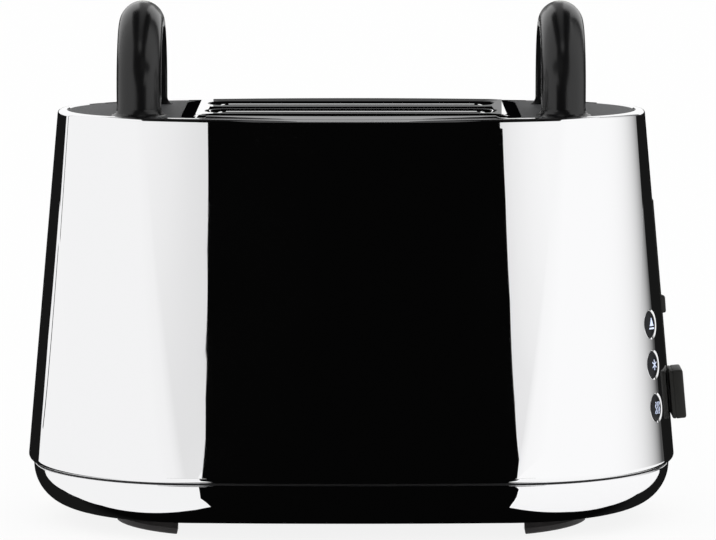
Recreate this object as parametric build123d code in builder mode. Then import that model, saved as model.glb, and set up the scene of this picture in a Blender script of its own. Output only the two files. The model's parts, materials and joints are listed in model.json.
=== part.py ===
from build123d import *

import os
from math import atan2, cos, radians, sin, tan

# Two-slot toaster: a polished tapered shell on a rounded base bowl, two carrying loops on top,
# and the controls on the right-hand end. Millimetres, +Z up, the front towards -Y.
# The origin is on the standing surface, under the middle of the whole toaster's box.

os.makedirs("parts", exist_ok=True)

# Common clearances
seat_gap = 0.3
slide_gap = 0.4
running_gap = 0.05
screw_gap = 0.1

# Body shell: four-arc ovals at the rim and at the hem, with straight sloping walls between
rim_z = 206.5
rim_half_length = 147.0
rim_half_width = 68.0
rim_end_step = 10.0
hem_z = 30.5
hem_half_length = 163.1
hem_half_width = 90.0
hem_end_step = 2.0
shell_wall = 1.2
shell_joint_x = 78.0
wall_cut_depth = 3.6
rim_lip_width = 5.0
rim_lip_thickness = 2.0
rim_round = 1.8
lip_edge_bevel = 0.5
hem_lip_width = 5.0
hem_lip_height = 4.0
hem_round = 2.6

# Base bowl and the dark joint under the shell
seam_gap = 1.0
base_setback = 2.8
base_floor_z = 7.5
base_wall = 2.5
base_round = 21.0
base_joint_y = 60.0
gasket_setback = 1.4
gasket_width = 3.0

# Feet: four pads that follow an oval under the bowl's flat
foot_end_inset = 19.5
foot_side_inset = 1.0
foot_end_step = 2.6
foot_width = 11.0
foot_length = 33.8
foot_depth = 49.2
foot_round = 1.0

# Bread slots and the raised slot plate
slot_length = 140.6
slot_width = 22.0
slot_spacing = 46.0
slot_corner = 9.0
slot_roll = 2.8
plate_half_length = 83.5
plate_slope_run = 7.0
plate_rise = 1.0
plate_corner = 14.0
plate_edge_round = 0.6
cap_drop = 0.3
cap_tip_x = 78.0
deck_thickness = 1.2
deck_slot_margin = 1.0

# Carrying loops
handle_x = 104.7
handle_width = 22.0
handle_thickness = 13.0
handle_span = 94.0
handle_top_z = 260.5
handle_bend = 42.0
handle_edge_round = 1.2
flare_steps = ((0.0, 2.6), (0.5, 1.6), (1.3, 0.7), (2.4, 0.2), (3.4, 0.0))
handle_screw_radius = 1.6
handle_screw_depth = 16.0
handle_screw_head_radius = 3.6
handle_screw_head = 2.2

# Base plate, its posts and the crumb opening
base_plate_thickness = 1.5
base_plate_gap = 0.5
crumb_half_length = 72.0
crumb_half_width = 46.0
post_x = 112.0
post_y = 44.0
post_radius = 6.5
base_screw_radius = 1.6
base_screw_head_radius = 3.6
base_screw_head = 2.6
base_screw_sink = 4.0
base_screw_room = 0.2
post_root = 1.25
base_screw_end = 2.0

# Chassis end plates
chassis_x = 75.5
chassis_thickness = 1.0
chassis_half_width = 55.0
chassis_flange = 12.0
chassis_screw_y = 45.0
chassis_screw_radius = 1.6
chassis_screw_head_radius = 3.0
chassis_screw_head = 1.8

# Heater cards, ribbons, reflectors and wire guards
card_thickness = 0.6
card_low_z = 68.0
card_high_z = 196.0
outer_card_y = 43.0
ribbon_thickness = 0.4
ribbon_width = 2.0
ribbon_length = 138.0
ribbon_rows = 10
reflector_y = 49.0
reflector_thickness = 0.6
reflector_low_z = 60.0
guard_wire_radius = 0.8
guard_margin = 0.2
guard_weld = 0.5
guard_wires = 8
guard_pitch = 19.0
guard_low_z = 62.0
guard_bar_low_z = 65.0
guard_bar_high_z = 198.0

# Bread carriage
lift_travel = 90.0
rack_low_z = 76.0
rack_height = 4.0
rack_thickness = 2.0
rack_left_x = 82.0
rack_fins = 9
rack_fin_pitch = 16.0
rack_fin_half_width = 9.0
rack_fin_height = 3.0
rack_slot_gap = 0.6
rack_slot_end = 1.5
bracket_x = 88.0
bracket_thickness = 2.0
bracket_half_width = 29.0
bracket_margin = 1.0
bracket_top_z = 84.0
shelf_length = 26.0
shelf_half_width = 8.0
rod_x = 104.0
rod_radius = 3.0
bush_radius = 5.0
bush_overhang = 0.8
spring_x = 95.0
spring_radius = 3.5
spring_wire = 0.9
armature_x = 109.0
armature_length = 8.5
armature_half_width = 7.0
armature_thickness = 2.0
magnet_length = 12.0
magnet_half_width = 9.0
magnet_core_radius = 3.2
magnet_core_height = 3.0

# Lever
knob_z = 63.0
knob_height = 24.5
knob_half_width = 11.0
knob_depth = 6.7
knob_gap = 0.8
knob_round = 0.9
knob_neck_depth = 1.4
knob_neck_inset = 0.6
knob_pocket_depth = 5.0
stem_height = 8.0
stem_thickness = 3.0
lever_slot_side = 0.6
lever_slot_end = 1.0
trim_border = 3.0
trim_proud = 0.3
trim_depth = 2.6

# Push buttons on the front half of the right-hand end
buttons = (("eject", 101.8), ("defrost", 81.8), ("reheat", 60.5))
buttons_turn = 26.0
button_travel = 1.5
button_radius = 6.45
button_proud = 0.7
button_back = 3.5
button_edge_round = 0.5
button_stem_radius = 3.0
button_stem_end = 11.0
ring_radius = 7.5
ring_wall = 0.9
ring_proud = 0.9
ring_depth = 4.5
ring_edge_round = 0.35
housing_half_width = 10.0
housing_margin = 12.0
housing_front = 2.4
housing_floor = 6.0
housing_back = 9.0
housing_post_radius = 2.5
housing_post_inset = 4.0
board_thickness = 1.6
switch_gap = 0.2
switch_half_width = 3.0
switch_height = 1.8

# Browning slider on the rear half of the right-hand end
slider_z = 105.0
slider_turn = 17.0
slider_down_travel = 12.0
slider_up_travel = 18.0
slider_height = 9.0
slider_width = 10.0
slider_depth = 5.3
slider_gap = 0.5
slider_round = 1.4
slider_stem_height = 5.0
slider_stem_thickness = 2.4
slider_stem_end = 7.5
pot_width = 9.0
pot_front = 2.2
pot_back = 10.0
pot_margin = 4.0

# Control board in the right-hand compartment
control_board_y = 45.0
control_board_half_width = 11.0
control_board_low_z = 60.0
control_board_high_z = 160.0
standoff_length = 5.0
standoff_radius = 2.5
standoff_inset = 4.5
relay_size = (15.0, 14.0, 19.0)
capacitor_radius = 5.0
capacitor_length = 18.0
transformer_size = (20.0, 18.0, 24.0)
component_pitch = 25.0

# Mains entry at the rear left: the gland, and the terminal block behind it
gland_turn = 61.0
gland_z = 48.0
gland_bore_radius = 3.7
gland_neck_radius = 6.2
gland_flange_radius = 8.0
gland_flange = 2.0
gland_sleeve = 12.0
gland_groove = 1.75
terminal_x = -112.0
terminal_size = (26.0, 14.0, 12.0)
terminal_screw_radius = 1.8
terminal_screws = 3

# Crumb tray and its rails, in the bowl
tray_half_width = 73.0
tray_front_half_width = 74.0
tray_back_y = -62.0
tray_floor_z = 12.6
tray_floor = 0.8
tray_wall_height = 8.0
tray_wall = 1.0
tray_front_thickness = 6.0
tray_front_low_z = 12.4
tray_front_high_z = 24.0
pull_radius = 11.0
pull_depth = 3.0
rail_wall = 1.2
rail_ledge = 4.0
rail_height = 9.0

# Places that follow from the sizes above
rim_end_radius = rim_half_width - rim_end_step
hem_end_radius = hem_half_width - hem_end_step
base_top_z = hem_z - seam_gap
deck_top_z = rim_z - rim_lip_thickness - seat_gap
deck_low_z = deck_top_z - deck_thickness
cap_top_z = rim_z - cap_drop
plate_top_z = rim_z + plate_rise
base_plate_low_z = hem_z + hem_lip_height
base_plate_top_z = base_plate_low_z + base_plate_thickness
handle_centre_y = (handle_span - handle_thickness) / 2
slot_y = slot_spacing / 2
guard_offset = slot_width / 2 + guard_wire_radius + guard_margin
bracket_low_z = knob_z - stem_height / 2 - bracket_margin
wall_lean = atan2(hem_half_length - rim_half_length, rim_z - hem_z)


def oval_at(height):
    """Half length, half width and end radius of the shell's outside at a height."""
    share = (height - hem_z) / (rim_z - hem_z)
    return (hem_half_length + share * (rim_half_length - hem_half_length),
            hem_half_width + share * (rim_half_width - hem_half_width),
            hem_end_radius + share * (rim_end_radius - hem_end_radius))


def inside(oval, amount):
    """The same oval, drawn in by an even amount."""
    return tuple(value - amount for value in oval)


def side_radius(oval):
    """Radius of the long side arcs that join the end arcs without a corner."""
    half_length, half_width, end_radius = oval
    run = half_length - end_radius
    return (run ** 2 + half_width ** 2 - end_radius ** 2) / (2 * (half_width - end_radius))


def end_sweep(oval):
    """Half angle of the end arc, in radians."""
    half_length, half_width, end_radius = oval
    return atan2(side_radius(oval) - half_width, half_length - end_radius)


def draw_oval(oval):
    """Add a four-arc oval to the sketch that is open."""
    half_length, half_width, end_radius = oval
    sweep_angle = end_sweep(oval)
    join_x = half_length - end_radius + end_radius * cos(sweep_angle)
    join_y = end_radius * sin(sweep_angle)
    with BuildLine() as outline:
        ThreePointArc((join_x, -join_y), (half_length, 0), (join_x, join_y))
        ThreePointArc((join_x, join_y), (0, half_width), (-join_x, join_y))
        ThreePointArc((-join_x, join_y), (-half_length, 0), (-join_x, -join_y))
        ThreePointArc((-join_x, -join_y), (0, -half_width), (join_x, -join_y))
    make_face(outline.edges())


# The lever knob reaches past the shell on one side, so the body stands off the origin by half of it
wall_x_at_knob = oval_at(knob_z)[0]
knob_reach = (knob_gap + knob_depth - knob_round) * cos(wall_lean) + knob_round
knob_tip_x = wall_x_at_knob + knob_reach + (knob_height / 2 - knob_round) * sin(wall_lean)
hem_reach = hem_half_length - hem_round * (tan(wall_lean) + 1 / cos(wall_lean) - 1)
body_x = (hem_reach - knob_tip_x) / 2


def level(height):
    """Horizontal plane, centred on the body."""
    return Plane(origin=(body_x, 0, height))


def across(distance):
    """Upright plane across the body: its x runs along +Y and its y along +Z."""
    return Plane(origin=(body_x + distance, 0, 0), x_dir=(0, 1, 0), z_dir=(1, 0, 0))


def along(distance):
    """Upright plane along the body: its x runs along +X and its y along +Z."""
    return Plane(origin=(body_x, distance, 0), x_dir=(1, 0, 0), z_dir=(0, -1, 0))


def wall_plane(turn, height, end=1):
    """Plane on the outside of an end wall: x runs up the wall, z points outwards.

    The turn is in degrees from the end's middle, positive towards the rear.
    """
    share = (height - hem_z) / (rim_z - hem_z)
    hem_oval = oval_at(hem_z)
    rim_oval = oval_at(rim_z)
    middle_sweep = end_sweep(hem_oval) * (1 - share) + end_sweep(rim_oval) * share
    places = []
    for oval, place_z in ((hem_oval, hem_z), (rim_oval, rim_z)):
        angle = radians(turn) * end_sweep(oval) / middle_sweep
        radius = oval[2]
        point = Vector(end * (oval[0] - radius + radius * cos(angle)), radius * sin(angle), place_z)
        tangent = Vector(-end * radius * sin(angle), radius * cos(angle), 0)
        places.append((point, tangent))
    (foot, foot_tangent), (top, top_tangent) = places
    up = top - foot
    outward = (foot_tangent * (1 - share) + top_tangent * share).cross(up) * end
    return Plane(origin=foot + up * share + Vector(body_x, 0, 0), x_dir=up, z_dir=outward)


lever_plane = wall_plane(0, knob_z + lift_travel / 2)
lever_slot_width = stem_thickness + 2 * lever_slot_side
lever_slot_length = (lift_travel + stem_height + 2 * lever_slot_end) / cos(wall_lean)
trim_width = lever_slot_width + 2 * trim_border
trim_length = lever_slot_length + 2 * trim_border
slider_plane = wall_plane(slider_turn, slider_z)
slider_slot_width = slider_stem_thickness + 2 * slider_gap
slider_slot_length = slider_stem_height + slider_down_travel + slider_up_travel + 2 * slider_gap
slider_slot_offset = (slider_up_travel - slider_down_travel) / 2
button_planes = [wall_plane(-buttons_turn, height) for name, height in buttons]
gland_plane = wall_plane(gland_turn, gland_z, end=-1)


def cut_apart(form, planes):
    """The same form in panels that meet edge to edge at the planes."""
    pieces = form.solids()
    for plane in planes:
        pieces = [solid for piece in pieces
                  for solid in split(piece, bisect_by=plane, keep=Keep.BOTH).solids()]
    return pieces


# Body shell: two side walls and two ends, joined edge to edge and polished over
with BuildPart() as shell_form:
    with BuildSketch(level(hem_z)):
        draw_oval(oval_at(hem_z))
    with BuildSketch(level(rim_z)):
        draw_oval(oval_at(rim_z))
    loft(ruled=True)
    fillet(shell_form.edges().group_by(Axis.Z)[-1], rim_round)
    fillet(shell_form.edges().group_by(Axis.Z)[0], hem_round)
    for height in (base_plate_low_z, rim_z - rim_lip_thickness):
        with BuildSketch(level(height)):
            draw_oval(inside(oval_at(height), shell_wall))
    loft(ruled=True, mode=Mode.SUBTRACT)
    with BuildSketch(level(rim_z)):
        draw_oval(inside(oval_at(rim_z), rim_lip_width))
    extrude(amount=-2 * rim_lip_thickness, mode=Mode.SUBTRACT)
    rim_face = shell_form.faces().filter_by(GeomType.PLANE).sort_by(Axis.Z)[-1]
    chamfer(rim_face.inner_wires()[0].edges(), lip_edge_bevel)
    with BuildSketch(level(hem_z)):
        draw_oval(inside(oval_at(hem_z), hem_lip_width))
    extrude(amount=2 * hem_lip_height, mode=Mode.SUBTRACT)
    with BuildSketch(lever_plane.offset(-wall_cut_depth)):
        Rectangle(trim_length + 2 * seat_gap, trim_width + 2 * seat_gap)
    extrude(amount=2 * wall_cut_depth, mode=Mode.SUBTRACT)
    with BuildSketch(slider_plane.offset(-wall_cut_depth)):
        with Locations((slider_slot_offset, 0)):
            SlotOverall(slider_slot_length, slider_slot_width)
    extrude(amount=2 * wall_cut_depth, mode=Mode.SUBTRACT)
    for plane in button_planes:
        with BuildSketch(plane.offset(-wall_cut_depth)):
            Circle(ring_radius + seat_gap / 2)
        extrude(amount=2 * wall_cut_depth, mode=Mode.SUBTRACT)
    with BuildSketch(gland_plane.offset(-wall_cut_depth)):
        Circle(gland_neck_radius + screw_gap)
    extrude(amount=2 * wall_cut_depth, mode=Mode.SUBTRACT)
shell_joints = [across(-shell_joint_x), across(shell_joint_x)]
body_shell = Compound(label="body_shell", children=cut_apart(shell_form.part, shell_joints))
export_step(body_shell, "parts/body_shell.step")


def bowl(outline, low_z, edge_round):
    """Solid bowl: an oval block with its lower edge rounded."""
    with BuildPart() as form:
        with BuildSketch(level(low_z)):
            draw_oval(outline)
        extrude(amount=base_top_z - low_z)
        fillet(form.edges().group_by(Axis.Z)[0], edge_round)
    return form.part


# Base bowl, with posts for its screws and the opening for the crumb tray at the rear: a floor,
# two sides and two ends, joined as the shell is
base_outline = inside(oval_at(hem_z), base_setback)
bowl_outside = bowl(base_outline, base_floor_z, base_round)
base_inside_z = base_floor_z + base_wall
bowl_hollow = bowl(inside(base_outline, base_wall), base_inside_z, base_round - base_wall)
posts = [(x, y) for x in (-post_x, post_x) for y in (-post_y, post_y)]
tray_opening_width = 2 * (tray_front_half_width + slide_gap)
tray_opening_height = tray_front_high_z - tray_front_low_z + 2 * slide_gap
with BuildPart() as base_form:
    add(bowl_outside)
    add(bowl_hollow, mode=Mode.SUBTRACT)
    with BuildSketch(level(base_inside_z - post_root)):
        with Locations(*posts):
            Circle(post_radius)
    extrude(amount=base_plate_low_z - base_inside_z + post_root)
    with BuildSketch(level(base_floor_z)):
        with Locations(*posts):
            Circle(base_screw_head_radius + base_screw_room)
    extrude(amount=base_screw_sink, mode=Mode.SUBTRACT)
    with BuildSketch(level(base_floor_z)):
        with Locations(*posts):
            Circle(base_screw_radius + screw_gap)
    extrude(amount=base_plate_low_z - base_floor_z, mode=Mode.SUBTRACT)
    with BuildSketch(along(hem_half_width)):
        with Locations((0, (tray_front_low_z + tray_front_high_z) / 2)):
            Rectangle(tray_opening_width, tray_opening_height)
    extrude(amount=hem_half_width / 2, mode=Mode.SUBTRACT)
base_parts = cut_apart(base_form.part, shell_joints)
base_left, base_middle, base_right = sorted(base_parts, key=lambda solid: solid.center().X)
base_joints = [along(-base_joint_y), along(base_joint_y)]
base_shell = Compound(label="base_shell",
                      children=[base_left, base_right, *cut_apart(base_middle, base_joints)])
export_step(base_shell, "parts/base_shell.step")

# Dark gasket in the joint between the shell and the bowl
with BuildPart() as seam_gasket:
    with BuildSketch(level(base_top_z)):
        draw_oval(inside(base_outline, gasket_setback))
    extrude(amount=seam_gap)
    with BuildSketch(level(base_top_z)):
        draw_oval(inside(base_outline, gasket_setback + gasket_width))
    extrude(amount=seam_gap, mode=Mode.SUBTRACT)
seam_gasket.part.label = "seam_gasket"
export_step(seam_gasket.part, "parts/seam_gasket.step")

# Feet
flat_oval = inside(base_outline, base_round)
foot_half_length = flat_oval[0] - foot_end_inset
foot_half_width = flat_oval[1] - foot_side_inset
foot_oval = (foot_half_length, foot_half_width, foot_half_width - foot_end_step)
for depth_name, depth_side in (("front", -1), ("rear", 1)):
    for side_name, side in (("left", -1), ("right", 1)):
        with BuildPart() as foot:
            with BuildSketch(level(0)):
                draw_oval(foot_oval)
            extrude(amount=base_floor_z)
            with BuildSketch(level(0)):
                draw_oval(inside(foot_oval, foot_width))
            extrude(amount=base_floor_z, mode=Mode.SUBTRACT)
            with BuildSketch(level(0)):
                with Locations((side * foot_half_length, depth_side * foot_half_width)):
                    Rectangle(2 * foot_length, 2 * foot_depth)
            extrude(amount=base_floor_z, mode=Mode.INTERSECT)
            fillet(foot.edges().group_by(Axis.Z)[0], foot_round)
        foot_name = f"foot_{depth_name}_{side_name}"
        foot.part.label = foot_name
        export_step(foot.part, f"parts/{foot_name}.step")

# Top deck: the sheet that carries the caps, the slot plate and the handles
slots = [(0, -slot_y), (0, slot_y)]
handle_screws_at = [(x, y) for x in (-handle_x, handle_x) for y in (-handle_centre_y, handle_centre_y)]
chassis_screw_x = chassis_x + chassis_thickness + chassis_flange / 2
chassis_screws_at = [(x, y) for x in (-chassis_screw_x, chassis_screw_x)
                     for y in (-chassis_screw_y, chassis_screw_y)]
deck_outline = inside(oval_at(deck_top_z), shell_wall + seat_gap)
with BuildPart() as top_deck:
    with BuildSketch(level(deck_low_z)):
        draw_oval(deck_outline)
        with Locations(*slots):
            RectangleRounded(slot_length + 2 * deck_slot_margin, slot_width + 2 * deck_slot_margin,
                             slot_corner, mode=Mode.SUBTRACT)
        with Locations(*handle_screws_at):
            Circle(handle_screw_radius + screw_gap, mode=Mode.SUBTRACT)
        with Locations(*chassis_screws_at):
            Circle(chassis_screw_radius + screw_gap, mode=Mode.SUBTRACT)
    extrude(amount=deck_thickness)
top_deck.part.label = "top_deck"
export_step(top_deck.part, "parts/top_deck.step")

# Raised slot plate, with rolled lips round both slots
top_outline = inside(oval_at(rim_z), rim_lip_width + seat_gap)
with BuildPart() as slot_plate:
    with BuildSketch(level(deck_top_z)) as plate_outline:
        draw_oval(top_outline)
        Rectangle(2 * plate_half_length, 2 * rim_half_width, mode=Mode.INTERSECT)
        fillet(plate_outline.vertices(), plate_corner)
    extrude(amount=cap_top_z - deck_top_z)
    with BuildSketch(level(cap_top_z)) as plate_foot:
        add(plate_outline.sketch_local)
    with BuildSketch(level(plate_top_z)) as plate_head:
        add(plate_outline.sketch_local)
        offset(amount=-plate_slope_run, kind=Kind.INTERSECTION)
    loft(ruled=True)
    fillet(slot_plate.edges().group_by(Axis.Z)[-1], plate_edge_round)
    with BuildSketch(level(plate_top_z)):
        with Locations(*slots):
            RectangleRounded(slot_length, slot_width, slot_corner)
    extrude(amount=deck_top_z - plate_top_z, mode=Mode.SUBTRACT)
    top_face = slot_plate.faces().filter_by(GeomType.PLANE).sort_by(Axis.Z)[-1]
    fillet([edge for wire in top_face.inner_wires() for edge in wire.edges()], slot_roll)
slot_plate.part.label = "slot_plate"
export_step(slot_plate.part, "parts/slot_plate.step")

# End caps, either side of the slot plate
for side_name, side in (("left", -1), ("right", 1)):
    with BuildPart() as top_cap:
        with BuildSketch(level(deck_top_z)):
            draw_oval(top_outline)
            with Locations((side * (cap_tip_x + rim_half_length), 0)):
                Rectangle(2 * rim_half_length, 2 * rim_half_width, mode=Mode.INTERSECT)
            with BuildSketch(mode=Mode.PRIVATE) as plate_room:
                add(plate_outline.sketch_local)
                offset(amount=seat_gap, kind=Kind.INTERSECTION)
            add(plate_room.sketch, mode=Mode.SUBTRACT)
            with Locations(*handle_screws_at):
                Circle(handle_screw_radius + screw_gap, mode=Mode.SUBTRACT)
        extrude(amount=cap_top_z - deck_top_z)
    top_cap.part.label = f"top_cap_{side_name}"
    export_step(top_cap.part, f"parts/top_cap_{side_name}.step")


def draw_grip(leg_y, grow):
    """Add the loop's D-shaped section to the sketch, its round side away from the middle."""
    outer = 1 if leg_y > 0 else -1
    half = handle_width / 2 + grow
    flat_y = leg_y - outer * (handle_thickness / 2 + grow)
    round_y = leg_y + outer * (handle_thickness / 2 - handle_width / 2)
    tip_y = round_y + outer * half
    with BuildLine() as outline:
        Polyline((-half, round_y), (-half, flat_y), (half, flat_y), (half, round_y))
        ThreePointArc((half, round_y), (0, tip_y), (-half, round_y))
    make_face(outline.edges())


# Carrying loops: a D-shaped bar bent over, with flared feet
grip_path_z = handle_top_z - handle_thickness / 2
grip_bend = handle_bend - handle_thickness / 2
for side_name, side in (("left", -1), ("right", 1)):
    grip_plane = across(side * handle_x)
    with BuildPart() as handle:
        with BuildLine(grip_plane):
            FilletPolyline((-handle_centre_y, cap_top_z), (-handle_centre_y, grip_path_z),
                           (handle_centre_y, grip_path_z), (handle_centre_y, cap_top_z), radius=grip_bend)
        with BuildSketch(Plane(origin=(body_x + side * handle_x, 0, cap_top_z))) as grip:
            draw_grip(-handle_centre_y, 0)
            inner_corners = grip.vertices().group_by(Axis.Y)[-1]
            fillet(inner_corners, handle_edge_round)
        sweep()
        for leg_y in (-handle_centre_y, handle_centre_y):
            for (low, low_grow), (high, high_grow) in zip(flare_steps, flare_steps[1:]):
                for step, grow in ((low, low_grow), (high, high_grow)):
                    with BuildSketch(Plane(origin=(body_x + side * handle_x, 0, cap_top_z + step))):
                        draw_grip(leg_y, grow)
                loft(ruled=True)
        with BuildSketch(Plane(origin=(body_x + side * handle_x, 0, cap_top_z))):
            with Locations((0, -handle_centre_y), (0, handle_centre_y)):
                Circle(handle_screw_radius + screw_gap)
        extrude(amount=handle_screw_depth, mode=Mode.SUBTRACT)
    handle.part.label = f"handle_{side_name}"
    export_step(handle.part, f"parts/handle_{side_name}.step")


def screw_group(places, head_low_z, head_height, head_radius, shank_radius, shank_low_z, shank_high_z):
    """Identical upright screws, one solid each: a round head on a plain shank."""
    with BuildPart() as group:
        with BuildSketch(level(head_low_z)):
            with Locations(*places):
                Circle(head_radius)
        extrude(amount=head_height)
        with BuildSketch(level(shank_low_z)):
            with Locations(*places):
                Circle(shank_radius)
        extrude(amount=shank_high_z - shank_low_z)
    return group


handle_screws = screw_group(handle_screws_at, deck_low_z - handle_screw_head, handle_screw_head,
                            handle_screw_head_radius, handle_screw_radius, deck_low_z - handle_screw_head,
                            cap_top_z + handle_screw_depth - seat_gap)
handle_screws.part.label = "handle_screws"
export_step(handle_screws.part, "parts/handle_screws.step")

# Base plate, with the crumb opening over the tray
with BuildPart() as base_plate:
    with BuildSketch(level(base_plate_low_z)):
        draw_oval(inside(oval_at(base_plate_top_z), shell_wall + base_plate_gap))
        Rectangle(2 * crumb_half_length, 2 * crumb_half_width, mode=Mode.SUBTRACT)
        with Locations(*posts):
            Circle(base_screw_radius + screw_gap, mode=Mode.SUBTRACT)
        with Locations(*chassis_screws_at):
            Circle(chassis_screw_radius + screw_gap, mode=Mode.SUBTRACT)
    extrude(amount=base_plate_thickness)
base_plate.part.label = "base_plate"
export_step(base_plate.part, "parts/base_plate.step")

base_screws = screw_group(posts, base_floor_z + base_screw_sink - base_screw_head, base_screw_head,
                          base_screw_head_radius, base_screw_radius, base_floor_z + base_screw_sink,
                          base_plate_top_z + base_screw_end)
base_screws.part.label = "base_screws"
export_step(base_screws.part, "parts/base_screws.step")

# Chassis end plates: a web with flanges to the deck and to the base plate
rack_slot_low_z = rack_low_z - rack_slot_end
rack_slot_height = rack_height + lift_travel + 2 * rack_slot_end
for side_name, side in (("left", -1), ("right", 1)):
    web_x = side * (chassis_x + chassis_thickness / 2)
    flange_x = side * (chassis_x + (chassis_thickness + chassis_flange) / 2)
    with BuildPart() as chassis:
        with BuildSketch(level(base_plate_top_z)):
            with Locations((web_x, 0)):
                Rectangle(chassis_thickness, 2 * chassis_half_width)
        extrude(amount=deck_low_z - base_plate_top_z)
        for flange_z in (base_plate_top_z, deck_low_z - chassis_thickness):
            with BuildSketch(level(flange_z)):
                with Locations((flange_x, 0)):
                    Rectangle(chassis_thickness + chassis_flange, 2 * chassis_half_width)
                with Locations(*chassis_screws_at):
                    Circle(chassis_screw_radius + screw_gap, mode=Mode.SUBTRACT)
            extrude(amount=chassis_thickness)
        with BuildSketch(across(side * (chassis_x - chassis_thickness))):
            with Locations(*((y, rack_slot_low_z + rack_slot_height / 2) for x, y in slots)):
                Rectangle(rack_thickness + 2 * rack_slot_gap, rack_slot_height)
        extrude(amount=side * 3 * chassis_thickness, mode=Mode.SUBTRACT)
    chassis.part.label = f"chassis_{side_name}"
    export_step(chassis.part, f"parts/chassis_{side_name}.step")

chassis_low_screws = screw_group(chassis_screws_at, base_plate_top_z + chassis_thickness,
                                 chassis_screw_head, chassis_screw_head_radius, chassis_screw_radius,
                                 base_plate_low_z - seat_gap, base_plate_top_z + chassis_thickness)
chassis_top_screws = screw_group(chassis_screws_at, deck_low_z - chassis_thickness - chassis_screw_head,
                                 chassis_screw_head, chassis_screw_head_radius, chassis_screw_radius,
                                 deck_low_z - chassis_thickness, deck_top_z)
with BuildPart() as chassis_screws:
    add(chassis_low_screws.part)
    add(chassis_top_screws.part)
chassis_screws.part.label = "chassis_screws"
export_step(chassis_screws.part, "parts/chassis_screws.step")


def upright_sheet(centre_y, thickness, low_z, high_z):
    """Flat sheet between the chassis plates, with the seat gap at both ends."""
    with BuildPart() as sheet:
        with BuildSketch(level(low_z)):
            with Locations((0, centre_y)):
                Rectangle(2 * (chassis_x - seat_gap), thickness)
        extrude(amount=high_z - low_z)
    return sheet


# Heat reflectors
for depth_name, depth_side in (("front", -1), ("rear", 1)):
    reflector = upright_sheet(depth_side * reflector_y, reflector_thickness, reflector_low_z,
                              deck_low_z - seat_gap)
    reflector.part.label = f"reflector_{depth_name}"
    export_step(reflector.part, f"parts/reflector_{depth_name}.step")

# Heater cards, with rows of ribbon on the faces that look at the bread
row_pitch = (card_high_z - card_low_z) / (ribbon_rows + 1)
ribbon_y = (card_thickness + ribbon_thickness) / 2
for card_name, card_y, faces in (("front", -outer_card_y, (1,)), ("centre", 0, (-1, 1)),
                                 ("rear", outer_card_y, (-1,))):
    mica = upright_sheet(card_y, card_thickness, card_low_z, card_high_z)
    mica.part.label = f"mica_{card_name}"
    export_step(mica.part, f"parts/mica_{card_name}.step")
    with BuildPart() as ribbon:
        for face in faces:
            with BuildSketch(along(card_y + face * ribbon_y + ribbon_thickness / 2)):
                with Locations(*((0, card_low_z + row_pitch * (row + 1)) for row in range(ribbon_rows))):
                    Rectangle(ribbon_length, ribbon_width)
            extrude(amount=ribbon_thickness)
    ribbon.part.label = f"ribbon_{card_name}"
    export_step(ribbon.part, f"parts/ribbon_{card_name}.step")

# Wire bread guards, one each side of each slot
guard_top_z = deck_low_z - seat_gap
for guard_name, centre_y, face in (("front_outer", -slot_y, -1), ("front_inner", -slot_y, 1),
                                   ("rear_inner", slot_y, -1), ("rear_outer", slot_y, 1)):
    guard_y = centre_y + face * guard_offset
    bar_y = guard_y + face * (2 * guard_wire_radius - guard_weld)
    with BuildPart() as guard:
        with BuildSketch(level(guard_low_z)):
            with Locations((0, guard_y)):
                with GridLocations(guard_pitch, 1, guard_wires, 1):
                    Circle(guard_wire_radius)
        extrude(amount=guard_top_z - guard_low_z)
        with BuildSketch(across(-(chassis_x - seat_gap))):
            with Locations((bar_y, guard_bar_low_z), (bar_y, guard_bar_high_z)):
                Circle(guard_wire_radius)
        extrude(amount=2 * (chassis_x - seat_gap))
    guard.part.label = f"guard_{guard_name}"
    export_step(guard.part, f"parts/guard_{guard_name}.step")

# Guide rod
with BuildPart() as guide_rod:
    with BuildSketch(level(base_plate_top_z)):
        with Locations((rod_x, 0)):
            Circle(rod_radius)
    extrude(amount=deck_low_z - base_plate_top_z)
guide_rod.part.label = "guide_rod"
export_step(guide_rod.part, "parts/guide_rod.step")

# Bread racks: a spine through the chassis slots, with cross fins under the bread
rack_high_z = rack_low_z + rack_height
for depth_name, depth_side in (("front", -1), ("rear", 1)):
    with BuildPart() as bread_rack:
        with BuildSketch(level(rack_low_z)):
            with Locations(((bracket_x - rack_left_x) / 2, depth_side * slot_y)):
                Rectangle(bracket_x + rack_left_x, rack_thickness)
        extrude(amount=rack_height)
        with BuildSketch(level(rack_high_z - rack_fin_height)):
            with Locations((0, depth_side * slot_y)):
                with GridLocations(rack_fin_pitch, 1, rack_fins, 1):
                    Rectangle(rack_thickness, 2 * rack_fin_half_width)
        extrude(amount=rack_fin_height)
    bread_rack.part.label = f"bread_rack_{depth_name}"
    export_step(bread_rack.part, f"parts/bread_rack_{depth_name}.step")

# Carriage bracket: a plate behind both racks, with two shelves that hold the bush
shelf_x = bracket_x + bracket_thickness
shelf_end_x = shelf_x + shelf_length
shelf_levels = (bracket_low_z, bracket_top_z - bracket_thickness)
with BuildPart() as carriage_bracket:
    with BuildSketch(level(bracket_low_z)):
        with Locations((bracket_x + bracket_thickness / 2, 0)):
            Rectangle(bracket_thickness, 2 * bracket_half_width)
        with Locations((shelf_end_x + bracket_thickness / 2, 0)):
            Rectangle(bracket_thickness, 2 * shelf_half_width)
    extrude(amount=bracket_top_z - bracket_low_z)
    for shelf_z in shelf_levels:
        with BuildSketch(level(shelf_z)):
            with Locations((shelf_x + shelf_length / 2, 0)):
                Rectangle(shelf_length, 2 * shelf_half_width)
        extrude(amount=bracket_thickness)
    with BuildSketch(level(bracket_low_z)):
        with Locations((rod_x, 0)):
            Circle(bush_radius + running_gap)
    extrude(amount=bracket_top_z - bracket_low_z, mode=Mode.SUBTRACT)
carriage_bracket.part.label = "carriage_bracket"
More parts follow.
